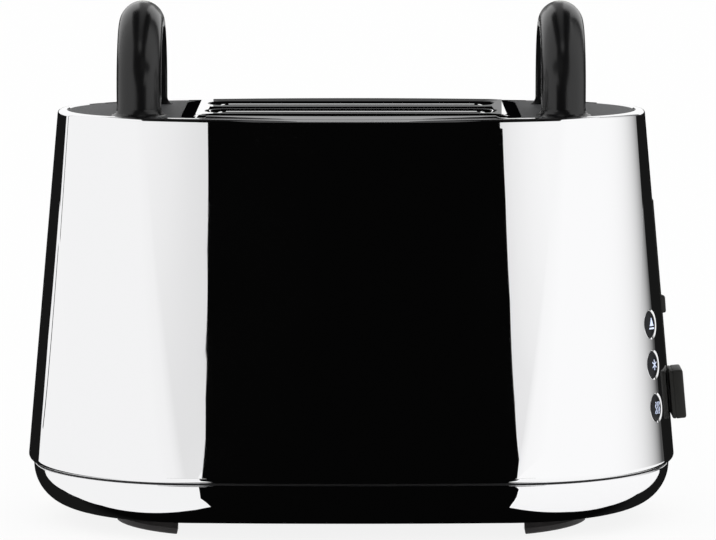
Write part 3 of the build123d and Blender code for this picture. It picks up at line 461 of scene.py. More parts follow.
@dataclass(frozen=True)
class WallShape:
    """The shell's outside: four-arc ovals that change evenly from the hem up to the rim."""

    hem: tuple[float, float, float] = (163.1, 90.0, 88.0)
    rim: tuple[float, float, float] = (147.0, 68.0, 58.0)
    hem_z: float = 30.5
    rim_z: float = 206.5
    hem_round: float = 2.6
    rim_round: float = 1.8

    @property
    def lean(self) -> float:
        """The ends' lean from upright, in radians."""
        return math.atan2(self.hem[0] - self.rim[0], self.rim_z - self.hem_z)

    def level(self, z: Array | float) -> tuple[Array | float, ...]:
        """Half length, half width and end radius at heights z."""
        share = (z - self.hem_z) / (self.rim_z - self.hem_z)
        return tuple(a + share * (b - a) for a, b in zip(self.hem, self.rim))

    @staticmethod
    def sweep(oval: Sequence[float]) -> float:
        """Half angle of an oval's end arc.

        The side arc touches the end arc where the line of their two centres meets them both.

        Args:
            oval: half length, half width and end radius.

        Returns:
            The angle in radians.
        """
        half_length, half_width, end_radius = oval
        run = half_length - end_radius
        side_radius = (run ** 2 + half_width ** 2 - end_radius ** 2) / (2 * (half_width - end_radius))
        return math.atan2(side_radius - half_width, run)

    def distance(self, points: Array) -> Array:
        """Signed distance, in plan, from the four-arc oval at each point's height.

        Points whose direction from an end arc's centre lies within that arc belong to it, and
        the others belong to the side arc.

        Args:
            points: n by 3 positions, in millimetres from the body's axis.

        Returns:
            The distance outside the oval, negative inside.
        """
        half_length, half_width, end_radius = self.level(points[:, 2])
        run = half_length - end_radius
        side_radius = (run ** 2 + half_width ** 2 - end_radius ** 2) / (2 * (half_width - end_radius))
        sweep = np.arctan2(side_radius - half_width, run)
        x, y = np.abs(points[:, 0]), np.abs(points[:, 1])
        at_end = np.arctan2(y, x - run) < sweep
        end_distance = np.hypot(x - run, y) - end_radius
        side_distance = np.hypot(x, y + side_radius - half_width) - side_radius
        return np.where(at_end, end_distance, side_distance)

    def gradient(self, points: Array, axes: int = 3) -> Array:
        """Unit gradient of the distance along the first axes, by small steps to either side.

        Args:
            points: n by 3 positions.
            axes: how many axes the gradient has, three or the two of the plan.

        Returns:
            n directions away from the oval.
        """
        step = 0.01
        slope = np.stack([(self.distance(points + step * axis) - self.distance(points - step * axis))
                          for axis in np.eye(3)[:axes]], axis=1)
        return slope / np.maximum(np.linalg.norm(slope, axis=1, keepdims=True), 1e-9)

    def normals(self, points: Array) -> Array:
        """Outward normals of the skin: the wall's own slope, turned through the rounds at rim and hem.

        The wall's normal is the gradient of the plan distance. On a round, the normal's height part
        is the height above the round's centre over its radius, and its plan part keeps the rest.

        Args:
            points: n by 3 positions.

        Returns:
            n unit normals.
        """
        slope = self.gradient(points)
        lean = slope[:, 2]
        plan = slope[:, :2] / np.maximum(np.linalg.norm(slope[:, :2], axis=1, keepdims=True), 1e-9)
        z = points[:, 2]
        meet = math.sin(self.lean)
        over_rim = z > self.rim_z - self.rim_round * (1 - meet) + 0.01
        under_hem = z < self.hem_z + self.hem_round * (1 + meet) - 0.01
        rise = np.where(over_rim, (z - self.rim_z + self.rim_round) / self.rim_round, lean)
        rise = np.where(under_hem, (z - self.hem_z - self.hem_round) / self.hem_round, rise)
        rise = np.clip(rise, -1, 1)
        return np.column_stack([plan * np.sqrt(1 - rise[:, None] ** 2), rise])

    def frame(self, turn: float, height: float, end: int = 1) -> WallFrame:
        """The place on an end wall at a turn in degrees from the end's middle, positive to the rear.

        The two ends of the wall's ruling lie at turns in proportion to their arcs. Up follows the
        ruling, and outwards is the ruling crossed with the wall's direction round the body.

        Args:
            turn: degrees round the end arc.
            height: the height of the place.
            end: one for the lever's end, minus one for the other.

        Returns:
            The place with its three directions.
        """
        share = (height - self.hem_z) / (self.rim_z - self.hem_z)
        middle = self.sweep(self.hem) * (1 - share) + self.sweep(self.rim) * share
        places = []
        for oval, z in ((self.hem, self.hem_z), (self.rim, self.rim_z)):
            angle = math.radians(turn) * self.sweep(oval) / middle
            half_length, _, radius = oval
            places.append((np.array([end * (half_length - radius + radius * math.cos(angle)),
                                     radius * math.sin(angle), z]),
                           np.array([-end * radius * math.sin(angle), radius * math.cos(angle), 0.0])))
        (foot, foot_way), (top, top_way) = places
        ruling = top - foot
        out = np.cross(foot_way * (1 - share) + top_way * share, ruling) * end
        up, out = ruling / np.linalg.norm(ruling), out / np.linalg.norm(out)
        return WallFrame(foot + ruling * share, up, np.cross(out, up), out)


@dataclass(frozen=True)
class BowlShape(WallShape):
    """The bowl's outside: the hem's oval set back, upright at the top, then one round to the flat."""

    setback: float = 2.8
    round_radius: float = 21.0
    round_top_z: float = 28.5
    top_z: float = 29.5
    top_round: float = 0.8

    def normals(self, points: Array) -> Array:
        """Outward normals: the oval's own in plan, turned up over the top edge and down through the
        round, in proportion to the height from each arc's centre.

        Args:
            points: n by 3 positions.

        Returns:
            n unit normals.
        """
        flat = points.copy()
        flat[:, 2] = self.hem_z
        plan = self.gradient(flat, 2)
        z = points[:, 2]
        rise = np.clip((z - self.round_top_z) / self.round_radius, -1, 0)
        over = z - self.top_z + self.top_round
        rise = np.where(over > 0, over / self.top_round, rise)
        rise = np.clip(rise, -1, 1)
        return np.column_stack([plan * np.sqrt(1 - rise[:, None] ** 2), rise])


def polish(mesh: bpy.types.Mesh, shape: WallShape, alike: float = 0.86) -> None:
    """Give a mesh's outer skin the exact normals of its own shape.

    A mirror shows every flat facet, so corners of faces that look the shape's way take the shape's
    normal, and the others keep their smooth or sharp ones.

    Args:
        mesh: the mesh.
        shape: what the skin's normals come from.
        alike: the cosine between a face and the shape past which it belongs to the skin.
    """
    places = np.empty(len(mesh.vertices) * 3)
    mesh.vertices.foreach_get("co", places)
    skin = shape.normals(places.reshape(-1, 3) / MM - (BODY_X, 0, 0))
    corners = np.empty(len(mesh.loops), dtype=np.int64)
    mesh.loops.foreach_get("vertex_index", corners)
    facing = np.empty(len(mesh.polygons) * 3)
    mesh.polygons.foreach_get("normal", facing)
    totals = np.empty(len(mesh.polygons), dtype=np.int64)
    mesh.polygons.foreach_get("loop_total", totals)
    facing = np.repeat(facing.reshape(-1, 3), totals, axis=0)
    kept = np.empty(len(mesh.loops) * 3)
    mesh.corner_normals.foreach_get("vector", kept)
    wanted = skin[corners]
    skinwards = np.sum(facing * wanted, axis=1) > alike
    mesh.normals_split_custom_set(np.where(skinwards[:, None], wanted, kept.reshape(-1, 3)).tolist())


def copied(node: str, name: str, merge: float = 0.002) -> bpy.types.Mesh:
    """Copy a CAD node's mesh and merge its doubles, so that its edges can be smoothed.

    Args:
        node: the node's name.
        name: the copy's name.
        merge: how far apart doubles may be, in millimetres.

    Returns:
        The copy.
    """
    mesh = frame["nodes"][node].data.copy()
    mesh.name = name
    turn_outwards(mesh, merge=merge, recalculate=False)
    return mesh


def arc(centre: tuple[float, float], radius: float, start: float, end: float, steps: int) -> Array:
    """Points of distance and height on an arc, at even turns from start to end in degrees."""
    turns = np.radians(np.linspace(start, end, steps))
    return np.column_stack([centre[0] + radius * np.cos(turns), centre[1] + radius * np.sin(turns)])


# Sub-assemblies


@dataclass
class Shell:
    """The drawn shell: a tapering wall, a lip turned in at the rim and one at the hem."""

    shape: WallShape = WallShape()
    wall: float = 1.2
    lip_width: float = 5.0
    lip_thickness: float = 2.0
    lip_bevel: float = 0.5
    hem_lip_width: float = 5.0
    hem_lip_height: float = 4.0
    wall_rows: int = 30
    ring_hole: float = 7.65
    gland_hole: float = 6.3
    gland_turn: float = 61.0
    gland_z: float = 48.0
    lever_hole: tuple[float, float] = (107.0, 10.8)
    lever_middle: float = 108.0
    slider_hole: tuple[float, float] = (36.0, 3.4)
    slider_offset: float = 3.0
    cut_depth: float = 3.6

    def rings(self) -> Array:
        """The section's outline as rings: each is the oval at a height, set in by a distance.

        On the rounds, the set-in is the wall's own line at that height less the arc's reach.

        Returns:
            m by n by 3 points.
        """
        shape = self.shape
        lean, bevel = shape.lean, self.lip_bevel
        slope = math.tan(lean)
        top_centre = (-(shape.rim_round / math.cos(lean)) + slope * shape.rim_round,
                      shape.rim_z - shape.rim_round)
        low_centre = (-(shape.hem_round / math.cos(lean)) - slope * shape.hem_round,
                      shape.hem_z + shape.hem_round)
        degrees = math.degrees(lean)
        rim_arc = arc(top_centre, shape.rim_round, degrees, 90, 8)
        hem_arc = arc(low_centre, shape.hem_round, -90, degrees, 8)
        rings = [self.at(shape.hem, reach, z) for reach, z in hem_arc[:-1]]
        low, high = hem_arc[-1, 1], rim_arc[0, 1]
        rings += [self.at(shape.level(z), 0.0, z) for z in np.linspace(low, high, self.wall_rows)]
        rings += [self.at(shape.rim, reach, z) for reach, z in rim_arc[1:]]
        rim_under = shape.rim_z - self.lip_thickness
        hem_over = shape.hem_z + self.hem_lip_height
        rings += [self.at(shape.rim, -self.lip_width + bevel, shape.rim_z),
                  self.at(shape.rim, -self.lip_width, shape.rim_z - bevel),
                  self.at(shape.rim, -self.lip_width, rim_under),
                  self.at(shape.level(rim_under), -self.wall, rim_under),
                  self.at(shape.level(hem_over), -self.wall, hem_over),
                  self.at(shape.hem, -self.hem_lip_width, hem_over),
                  self.at(shape.hem, -self.hem_lip_width, shape.hem_z)]
        return np.stack(rings)

    @staticmethod
    def at(oval: Sequence[float], reach: float, height: float) -> Array:
        """The oval, grown by a reach, at a height."""
        return oval_ring([value + reach for value in oval], height)

    def cutters(self, keys: Sequence[WallFrame], slider: WallFrame) -> tuple[Array, list[list[int]]]:
        """Tools for the holes of the rings, the lever's trim, the slider and the cord gland.

        Args:
            keys: the places of the three buttons.
            slider: the place of the browning slider.

        Returns:
            The points and the faces of all the tools.
        """
        deep = self.cut_depth
        tools = [key.turned([(self.ring_hole, -deep), (self.ring_hole, deep)]) for key in keys]
        gland = self.shape.frame(self.gland_turn, self.gland_z, -1)
        tools.append(gland.turned([(self.gland_hole, -deep), (self.gland_hole, deep)]))
        height, width = (value / 2 for value in self.lever_hole)
        lever = self.shape.frame(0, self.lever_middle)
        window = np.array([(-height, -width), (height, -width), (height, width), (-height, width)])
        tools.append(lever.plate(window, -deep, deep))
        length, across = (value / 2 for value in self.slider_hole)
        turns = np.radians(np.linspace(-90, 90, 13))
        half = np.column_stack([length - across + across * np.cos(turns), across * np.sin(turns)])
        outline = np.concatenate([half, -half]) + (self.slider_offset, 0)
        tools.append(slider.plate(outline, -deep, deep))
        return joined(tools)

    def build(self, chrome: bpy.types.Material, keys: Sequence[WallFrame], slider: WallFrame) -> None:
        """Make the shell, open its holes and polish it.

        Args:
            chrome: its material.
            keys: the places of the three buttons.
            slider: the place of the browning slider.
        """
        mesh = new_mesh("polished_shell", *loft(self.rings(), looped=True))
        holes = new_mesh("shell_holes", *self.cutters(keys, slider))
        mesh = cut(mesh, holes)
        turn_outwards(mesh, recalculate=False)
        polish(mesh, self.shape)
        place_piece("polished_shell", mesh, Body.SHELL.value, ["body_shell"], [chrome])


@dataclass
class Bowl:
    """The pressed base bowl, with the crumb tray's opening in its rear wall and its four posts."""

    shape: BowlShape = BowlShape()
    floor_z: float = 7.5
    wall: float = 2.5
    tray_half_width: float = 74.4
    tray_low_z: float = 12.0
    tray_high_z: float = 24.4
    tray_cut: tuple[float, float] = (45.0, 100.0)
    post_x: float = 112.0
    post_y: float = 44.0
    post_radius: float = 6.5
    post_top_z: float = 34.5
    post_root: float = 1.25
    screw_hole: float = 1.7
    head_hole: float = 3.8
    head_depth: float = 4.0

    def rings(self) -> Array:
        """The section as rings: floor, outer round, rounded top edge, then the same way back inside.

        Returns:
            m by n by 3 points.
        """
        shape = self.shape
        radius, edge = shape.round_radius, shape.top_round
        outer = arc((-radius, self.floor_z + radius), radius, -90, 0, 20)
        top = arc((-edge, shape.top_z - edge), edge, 0, 90, 6)
        inner_radius = radius - self.wall
        inner = arc((-radius, self.floor_z + radius), inner_radius, 0, -90, 14)
        section = np.concatenate([outer, top, [(-self.wall, shape.top_z)], inner])
        base = [value - shape.setback for value in shape.hem]
        return np.stack([oval_ring([value + reach for value in base], z) for reach, z in section])

    def posts(self) -> list[tuple[float, float]]:
        """Where the four posts stand."""
        return [(x, y) for x in (-self.post_x, self.post_x) for y in (-self.post_y, self.post_y)]

    @staticmethod
    def column(x: float, y: float, radius: float, low: float, high: float) -> tuple[Array, list[list[int]]]:
        """An upright round column.

        Args:
            x: its axis along the body.
            y: its axis across the body.
            radius: its radius.
            low: the height of its foot.
            high: the height of its top.

        Returns:
            The points and the faces.
        """
        turns = np.linspace(0, 2 * math.pi, 40, endpoint=False)
        circle = np.column_stack([x + radius * np.cos(turns), y + radius * np.sin(turns)])
        return loft(np.stack([np.column_stack([circle, np.full(len(circle), z)]) for z in (low, high)]))

    def build(self, chrome: bpy.types.Material) -> None:
        """Make the bowl, its posts and its openings, and polish it.

        Args:
            chrome: its material.
        """
        mesh = new_mesh("polished_bowl", *loft(self.rings()))
        inside = self.floor_z + self.wall
        tools = [self.column(x, y, self.head_hole, self.floor_z - 1, self.floor_z + self.head_depth)
                 for x, y in self.posts()]
        half = self.tray_half_width
        near, past = self.tray_cut
        box = np.array([(-half, near), (half, near), (half, past), (-half, past)])
        tools.append(loft(np.stack([np.column_stack([box, np.full(4, z)])
                                    for z in (self.tray_low_z, self.tray_high_z)])))
        mesh = cut(mesh, new_mesh("bowl_holes", *joined(tools)))
        turn_outwards(mesh, recalculate=False)
        polish(mesh, self.shape)
        place_piece("polished_bowl", mesh, Body.SHELL.value, ["base_shell"], [chrome])
        turns = np.linspace(0, 2 * math.pi, 40, endpoint=False)
        sleeves = []
        for x, y in self.posts():
            section = ((self.screw_hole, inside + self.post_root), (self.post_radius, inside),
                       (self.post_radius, self.post_top_z), (self.screw_hole, self.post_top_z))
            rings = [np.column_stack([x + r * np.cos(turns), y + r * np.sin(turns), np.full(len(turns), z)])
                     for r, z in section]
            sleeves.append(loft(np.stack(rings), looped=True))
        place_piece("bowl_posts", new_mesh("bowl_posts", *joined(sleeves)), Body.SHELL.value,
                    materials=[chrome])


@dataclass(frozen=True)
class PlateShape:
    """The slot plate's crown: pressed sheet that falls slightly to the front of each slot's lip."""

    top_z: float = 207.5
    slot_y: float = 23.0
    lip_y: float = 13.8
    flat_y: float = 55.7
    slot_x: float = 71.0
    crown: float = 4.0
    rear_crown: float = 2.6

    def normals(self, points: Array) -> Array:
        """Upward normals, leaning to the front by an angle that grows evenly from each near lip.

        Args:
            points: n by 3 positions.

        Returns:
            n unit normals.
        """
        y = points[:, 1]
        near_front = (-self.slot_y - self.lip_y - y) / (self.flat_y - self.slot_y - self.lip_y)
        between = (self.slot_y - self.lip_y - y) / (2 * (self.slot_y - self.lip_y))
        lean = np.where(y < -self.slot_y, near_front, between) * self.crown
        lean = np.where(y > self.slot_y, self.rear_crown, lean)
        lean = np.where(np.abs(points[:, 0]) > self.slot_x, 0.0, np.clip(lean, 0, self.crown))
        angle = np.radians(lean)
        return np.column_stack([np.zeros(len(y)), -np.sin(angle), np.cos(angle)])


@dataclass
class Plate:
    """The slot plate, bright on top, with painted reflection on its two end slopes: black in place of the
    dark handles that the chrome mirrors there.
    """

    shape: PlateShape = PlateShape()
    slope_x: float = 76.6
    alike: float = 0.996

    def build(self, chrome: bpy.types.Material, black: bpy.types.Material) -> None:
        """Copy the plate, give its top the crown's normals and its end slopes the black of painted
        reflection.

        Args:
            chrome: the material of its top.
            black: the material of its end slopes, a painted reflection of the dark handles.
        """
        mesh = copied("slot_plate", "polished_slot_plate")
        polish(mesh, self.shape, self.alike)
        centres = np.empty(len(mesh.polygons) * 3)
        mesh.polygons.foreach_get("center", centres)
        centres = centres.reshape(-1, 3) / MM - (BODY_X, 0, 0)
        # The end slopes take black in place of chrome: painted reflection of the dark handles.
        at_end = np.abs(centres[:, 0]) > self.slope_x
        place_piece("polished_slot_plate", mesh, Body.SHELL.value, ["slot_plate"],
                    [chrome, black])
        mesh.polygons.foreach_set("material_index", at_end.astype(np.int32))


@dataclass
class Key:
    """One push button: a domed cap in a chrome ring whose lip slopes in to it, with a lit picture."""

    symbol: Symbol
    body: Body
    place: WallFrame
    ring_radius: float = 7.6
    ring_inside: float = 6.6
    ring_proud: float = 0.12
    wall_radius: float = 76.0
    lip_drop: float = 0.55
    ring_depth: float = 4.5
    ring_edge: float = 0.05
    ring_land: float = 0.2
    ring_slope: float = 0.3
    ring_fall: float = 0.08
    cap_radius: float = 6.45
    cap_round: float = 0.1
    cap_edge: float = -0.4
    cap_top: float = 0.5
    cap_back: float = -3.5
    stem_radius: float = 3.0
    stem_end: float = -11.0
    print_rise: float = 0.05
    print_sink: float = 0.3
    soft: float = 0.12
    axis_gap: float = 0.02
    triangle: Outline = ((-0.7, -2.3), (-0.7, 2.3), (3.4, 0.0))
    bar: Outline = ((-1.9, -2.65), (-1.9, 2.65))
    bar_width: float = 0.8
    flake_reach: float = 2.6
    flake_width: float = 0.5
    flake_turns: tuple[float, ...] = (0, 60, 120)
    wave_reach: float = 2.9
    wave_swing: float = 0.5
    wave_length: float = 2.99
    wave_width: float = 0.36
    wave_shifts: tuple[float, ...] = (-2.0, 0.0, 2.0)

    def ring(self) -> tuple[Array, list[list[int]]]:
        """The ring's section spun round: a soft outer edge, then a cone that falls to the cap.

        Returns:
            The points and the faces.
        """
        outer, inner, proud = self.ring_radius, self.ring_inside, self.ring_proud
        edge, fall, low = self.ring_edge, self.ring_fall, proud - self.lip_drop
        profile = [(inner, -self.ring_depth), (outer, -self.ring_depth), (outer, proud - self.soft),
                   (outer - edge, proud), (outer - self.ring_land, proud),
                   (outer - self.ring_slope, proud - fall), (inner + edge, low), (inner, low - fall)]
        return self.place.turned(profile, looped=True, bend=self.wall_radius)

    def cap(self) -> tuple[Array, list[list[int]]]:
        """The cap's section spun round: stem, back, wall, and a face that falls from its middle with
        the square of the radius.

        Returns:
            The points and the faces.
        """
        wall, rise = self.cap_radius, self.cap_top - self.cap_edge
        radii = np.linspace(wall - self.cap_round, self.axis_gap, 14)
        face = [(radius, self.cap_top - rise * (radius / wall) ** 2) for radius in radii]
        profile = [(self.axis_gap, self.stem_end), (self.stem_radius, self.stem_end),
                   (self.stem_radius, self.cap_back), (wall, self.cap_back),
                   (wall, self.cap_edge - self.soft), *face]
        return self.place.turned(profile)

    def picture(self) -> tuple[Array, list[list[int]]]:
        """The picture's bars and plates, a hair proud of the face.

        The eject sign is a triangle over a bar, the defrost sign three crossed bars, and the reheat
        sign three upright waves, each a sine of the height.

        Returns:
            The points and the faces.
        """
        low, high = self.cap_top - self.print_sink, self.cap_top + self.print_rise
        if self.symbol is Symbol.EJECT:
            return joined([self.place.plate(np.array(self.triangle), low, high),
                           self.place.stroke(np.array(self.bar), self.bar_width, low, high)])
        if self.symbol is Symbol.SNOW:
            ends = [np.array((math.cos(turn), math.sin(turn))) * self.flake_reach
                    for turn in np.radians(self.flake_turns)]
            return joined([self.place.stroke(np.stack([-end, end]), self.flake_width, low, high)
                           for end in ends])
        rise = np.linspace(-self.wave_reach, self.wave_reach, 25)
        swing = self.wave_swing * np.sin(2 * math.pi * rise / self.wave_length)
        return joined([self.place.stroke(np.column_stack([rise, shift + swing]), self.wave_width, low, high)
                       for shift in self.wave_shifts])

    def build(self, chrome: bpy.types.Material, black: bpy.types.Material, lit: bpy.types.Material) -> None:
        """Make the ring on the shell, and the cap and its picture on the key's own body.

        Args:
            chrome: the ring's material.
            black: the cap's material.
            lit: the picture's material.
        """
        word = self.symbol.value
        for name, (points, faces), body, slot, node, material in (
                (f"turned_ring_{word}", self.ring(), Body.SHELL, "chrome_ring", [f"ring_{word}"], chrome),
                (f"domed_cap_{word}", self.cap(), self.body, "button_black", [f"button_{word}"], black),
                (f"lit_picture_{word}", self.picture(), self.body, "button_black", [], lit)):
            place_piece(name, new_mesh(name, points, faces, sharp=30.0), body.value, node, [material])


@dataclass
class Knob:
    """The lever's block: a moulded body with soft edges and the fine joint where its back clips in."""

    place: WallFrame
    height: float = 24.5
    width: float = 22.0
    corner: float = 1.1
    section: Outline = ((0.55, 1.4), (0.55, 0.7), (0.9, 0.25), (1.2, 0.12), (2.25, 0.1), (2.3, 0.4),
                        (2.55, 0.4), (2.6, 0.1), (2.75, 0.0), (6.5, 0.0), (6.85, 0.07), (7.15, 0.26),
                        (7.38, 0.55), (7.5, 0.95))

    def build(self, plastic: bpy.types.Material) -> None:
        """Loft rounded rectangles, each set in by the section's amount at its distance from the wall.

        Args:
            plastic: the knob's material.
        """
        rings = []
        for out, inset in self.section:
            half_height, half_width = self.height / 2 - inset, self.width / 2 - inset
            corners = []
            for quarter, (up, side) in enumerate(((1, 1), (-1, 1), (-1, -1), (1, -1))):
                turns = np.radians(np.linspace(0, 90, 6)) + quarter * math.pi / 2
                corners.append(np.column_stack([
                    up * (half_height - self.corner) + self.corner * np.cos(turns),
                    side * (half_width - self.corner) + self.corner * np.sin(turns)]))
            outline = np.concatenate(corners)
            rings.append(self.place.spot(outline[:, 0], outline[:, 1], out))
        mesh = new_mesh("moulded_knob", *loft(np.stack(rings)), sharp=50.0)
        place_piece("moulded_knob", mesh, Body.CARRIAGE.value, ["lever_knob"], [plastic])


@dataclass
class Spring:
    """The lift spring: a close coil hung from the deck."""

    x: float = 95.0
    radius: float = 3.05
    wire: float = 0.45
    low_z: float = 84.0
    high_z: float = 203.0
    turns: int = 34
    steps: int = 24
    travel: float = 90.0

    def build(self, steel: bpy.types.Material) -> None:
        """Carry a small circle along a helix.

        The helix is a turn about the upright axis with an even rise. The circle stands on the
        outward and the crosswise direction at each point.

        Args:
            steel: the spring's material.
        """
        angle = np.linspace(0, 2 * math.pi * self.turns, self.turns * self.steps + 1)
        rise = np.linspace(self.low_z + self.wire, self.high_z - self.wire, len(angle))
        outward = np.column_stack([np.cos(angle), np.sin(angle), np.zeros(len(angle))])
        axis = np.column_stack([np.full(len(angle), self.x), np.zeros(len(angle)), rise])
        centre = axis + outward * self.radius
        along = np.gradient(centre, axis=0)
        along /= np.linalg.norm(along, axis=1, keepdims=True)
        across = np.cross(along, outward)
        around = np.linspace(0, 2 * math.pi, 8, endpoint=False)[None, :, None]
        circle = np.cos(around) * outward[:, None] + np.sin(around) * across[:, None]
        rings = centre[:, None] + self.wire * circle
        piece = place_piece("coiled_lift_spring", new_mesh("coiled_lift_spring", *loft(rings), sharp=60.0),
                            Body.SHELL.value, ["lift_spring"], [steel])
        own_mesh(piece)


@dataclass
class Tray:
    """The crumb tray, whose front closes the bowl and carries on its round."""

    shape: BowlShape = BowlShape()

    def build(self, chrome: bpy.types.Material) -> None:
        """Copy the tray and polish its front to the bowl's shape.

        Args:
            chrome: its material.
        """
        mesh = copied("crumb_tray", "polished_tray")
        polish(mesh, self.shape)
        place_piece("polished_tray", mesh, Body.TRAY.value, ["crumb_tray"], [chrome])


# The studio


@dataclass(frozen=True)
class Sheet:
    """A level panel overhead or on the floor: rungs of distance to the rear, half width and height."""

    name: str
    level: float
    rungs: tuple[tuple[float, float, float], ...]


@dataclass
class Studio:
    """White floor and world, panels that only mirrors see, and the camera.

    The camera's place, lens and sensor are in millimetres and its pitch is in degrees. The rest is
    in metres, and levels are brightnesses, where one is white. The panels' outlines follow sight
    lines off the shell's own curve, so that their edges fall where the photograph shows them.
    """

    distance: float = 2216.0
    camera_x: float = 0.46
    camera_z: float = 387.0
    pitch: float = 6.74
    lens: float = 222.8
    sensor: float = 36.0
    sight: float = 50.0
    floor_reach: float = 12.0
    floor_colour: float = 0.95
    floor_white: float = 0.87
    black: float = 0.0015
    back_black: float = 0.009
    # The black panel in front: its edges by width and height. The near part shapes what the shell
    # shows, and the far part stands behind it and fills what its rounds and the bowl see.
    near_y: float = -0.35
    near_left: Outline = ((-0.105, 0.0), (-0.1115, 0.072), (-0.1186, 0.0926), (-0.1272, 0.1131),
                          (-0.1449, 0.1654), (-0.1605, 0.2194), (-0.1705, 0.259))
    near_right: Outline = ((0.115, 0.0), (0.1195, 0.0743), (0.1275, 0.0954), (0.1356, 0.1153),
                           (0.1536, 0.167), (0.1682, 0.2205), (0.1773, 0.2599))
    front_y: float = -1.09
    front_left: Outline = ((-0.191, 0.189), (-0.225, 0.205), (-0.255, 0.217), (-0.310, 0.257),
                           (-0.369, 0.321), (-0.436, 0.408), (-0.70, 0.75))
    front_right: Outline = ((0.198, 0.199), (0.235, 0.215), (0.265, 0.225), (0.327, 0.265), (0.385, 0.326),
                            (0.445, 0.411), (0.70, 0.75))
    high_front: Outline = ((0.70, -1.09, 0.75), (0.70, -0.9, 1.1), (0.60, -0.5, 1.4), (0.50, -0.15, 1.5))
    handle_panel: Outline = ((-0.48, 0.12), (0.48, 0.12), (0.48, 0.165), (-0.48, 0.165))
    handle_gap: float = 0.01
    # Pale panels beside it, brighter with the distance from its edge.
    left_wing: Outline = ((0.0, 0.77), (0.04, 0.80), (0.10, 0.86), (0.18, 0.91), (0.40, 0.935))
    right_wing: Outline = ((0.0, 0.78), (0.03, 0.86), (0.07, 0.92), (0.12, 0.965), (0.40, 1.0))
    # A black sheet on the floor that only mirrors see, by its left and right edges from front to back: a neck
    # under the front, then two wide wings that start beside the bowl's ends. Round the bowl's foot it is
    # painted shadow, standing in for the toaster's shadow on the floor as the bowl mirrors it. In front and
    # behind it is a dark card.
    floor_z: float = 0.003
    flag_and_shadow_left: Outline = ((-0.22, -1.09), (-0.120, -0.40), (-0.094, -0.21), (-0.080, -0.108),
                           (-0.073, -0.090), (-0.080, -0.085), (-0.115, -0.070), (-0.135, -0.061),
                           (-0.155, -0.048), (-0.173, -0.032), (-0.222, 0.029), (-0.565, 0.395),
                           (-1.165, 1.0), (-6.8, 5.9))
    flag_and_shadow_right: Outline = ((0.22, -1.09), (0.120, -0.40), (0.097, -0.178), (0.083, -0.112),
                            (0.076, -0.088), (0.083, -0.084), (0.107, -0.071), (0.133, -0.054),
                            (0.158, -0.034), (0.193, 0.012), (0.230, 0.060), (0.565, 0.395),
                            (1.165, 1.0), (6.8, 5.9))
    floor_change_y: float = -0.05
    # Panels on a far circle, by bearing in degrees from the front, positive to the right.
    far: float = 6.0
    wall_low: float = -0.2
    wall_high: float = 8.0
    back_bearings: tuple[float, float] = (129.5, 172.0)
    back_high: float = 0.55
    middle_high: float = 0.42
    strip_bearings: tuple[float, float] = (-124.4, -125.4)
    strip_share: float = 0.97
    strip_floor: Outline = ((-0.585, 0.375), (-3.67, 2.81), (-3.73, 2.75), (-0.593, 0.365))
    strip_floor_z: float = 0.002
    white_share: float = 1.03
    left_level: float = 0.935
    left_bearings: tuple[float, float] = (-6.0, -131.0)
    left_floor_bearings: tuple[float, float] = (-2.0, -150.0)
    left_centre: tuple[float, float] = (0.0, 0.1)
    right_bearings: tuple[float, float] = (60.0, 142.0)
    right_black: float = 135.0
    right_power: float = 3.68
    right_least: float = 0.08
    right_centre: tuple[float, float] = (0.150, -0.040)
    fan_start: float = 0.2
    fan_z: float = 0.001
    # What the slot plate and the bread slots' lips show: height and level behind, and level sheets.
    slot_grey: Outline = ((0.25, 0.30), (0.29, 0.26), (0.33, 0.16), (0.37, 0.07), (0.45, 0.02))
    slot_grey_x: float = 0.105
    slot_grey_y: float = 1.0
    sheets: tuple[Sheet, ...] = (
        Sheet("slot_front_panel", 0.0015, ((-0.0213, 0.083, 0.2275), (0.0150, 0.083, 0.2275))),
        Sheet("slot_rear_panel", 0.0015, ((0.0247, 0.083, 0.2275), (0.15, 0.083, 0.2275))),
        Sheet("lip_light_panel", 0.9, ((-1.3, 0.16, 1.2), (-0.46, 0.13, 1.2))),
        Sheet("roof_panel", 0.01, ((-1.5, 0.6, 1.27), (1.0, 0.6, 1.27))),
        Sheet("back_light_panel", 1.0, ((1.0, 0.10, 0.004), (5.9, 0.70, 0.004))),
        Sheet("ceiling_panel", 0.33, ((-0.46, 0.13, 1.2), (0.0, 0.13, 1.2), (1.0, 0.2, 1.2),
                                      (5.5, 0.5, 1.35))),
        Sheet("rim_strip_panel", 0.10, ((-0.20, 0.085, 0.30), (-0.11, 0.085, 0.30))))

    def card(self, name: str, corners: Sequence[Sequence[float]],
             faces: Sequence[Sequence[int]] | None = None, levels: Sequence[float] | float = 0.0) -> None:
        """Hang one panel that only glossy rays see.

        Args:
            name: the panel's name.
            corners: its corner points.
            faces: the corners of each face, or all of them in one face.
            levels: its brightness, or one value for each corner.
        """
        mesh = bpy.data.meshes.new(name)
        mesh.from_pydata([tuple(c) for c in corners], [], faces or [tuple(range(len(corners)))])
        level = mesh.attributes.new("level", "FLOAT", "POINT")
        level.data.foreach_set("value", np.broadcast_to(np.asarray(levels, np.float32), len(corners)).copy())
        panel = bpy.data.objects.new(name, mesh)
        bpy.context.scene.collection.objects.link(panel)
        material, tree, output = new_material(name)
        shade = add_node(tree, "Attribute", attribute_name="level")
        light = add_node(tree, "Emission", {"Strength": shade.outputs["Fac"]}, {"Color": (1, 1, 1, 1)})
        tree.links.new(light.outputs["Emission"], output.inputs["Surface"])
        mesh.materials.append(material)
        for ray in ("camera", "diffuse", "transmission", "shadow", "volume_scatter"):
            setattr(panel, f"visible_{ray}", False)

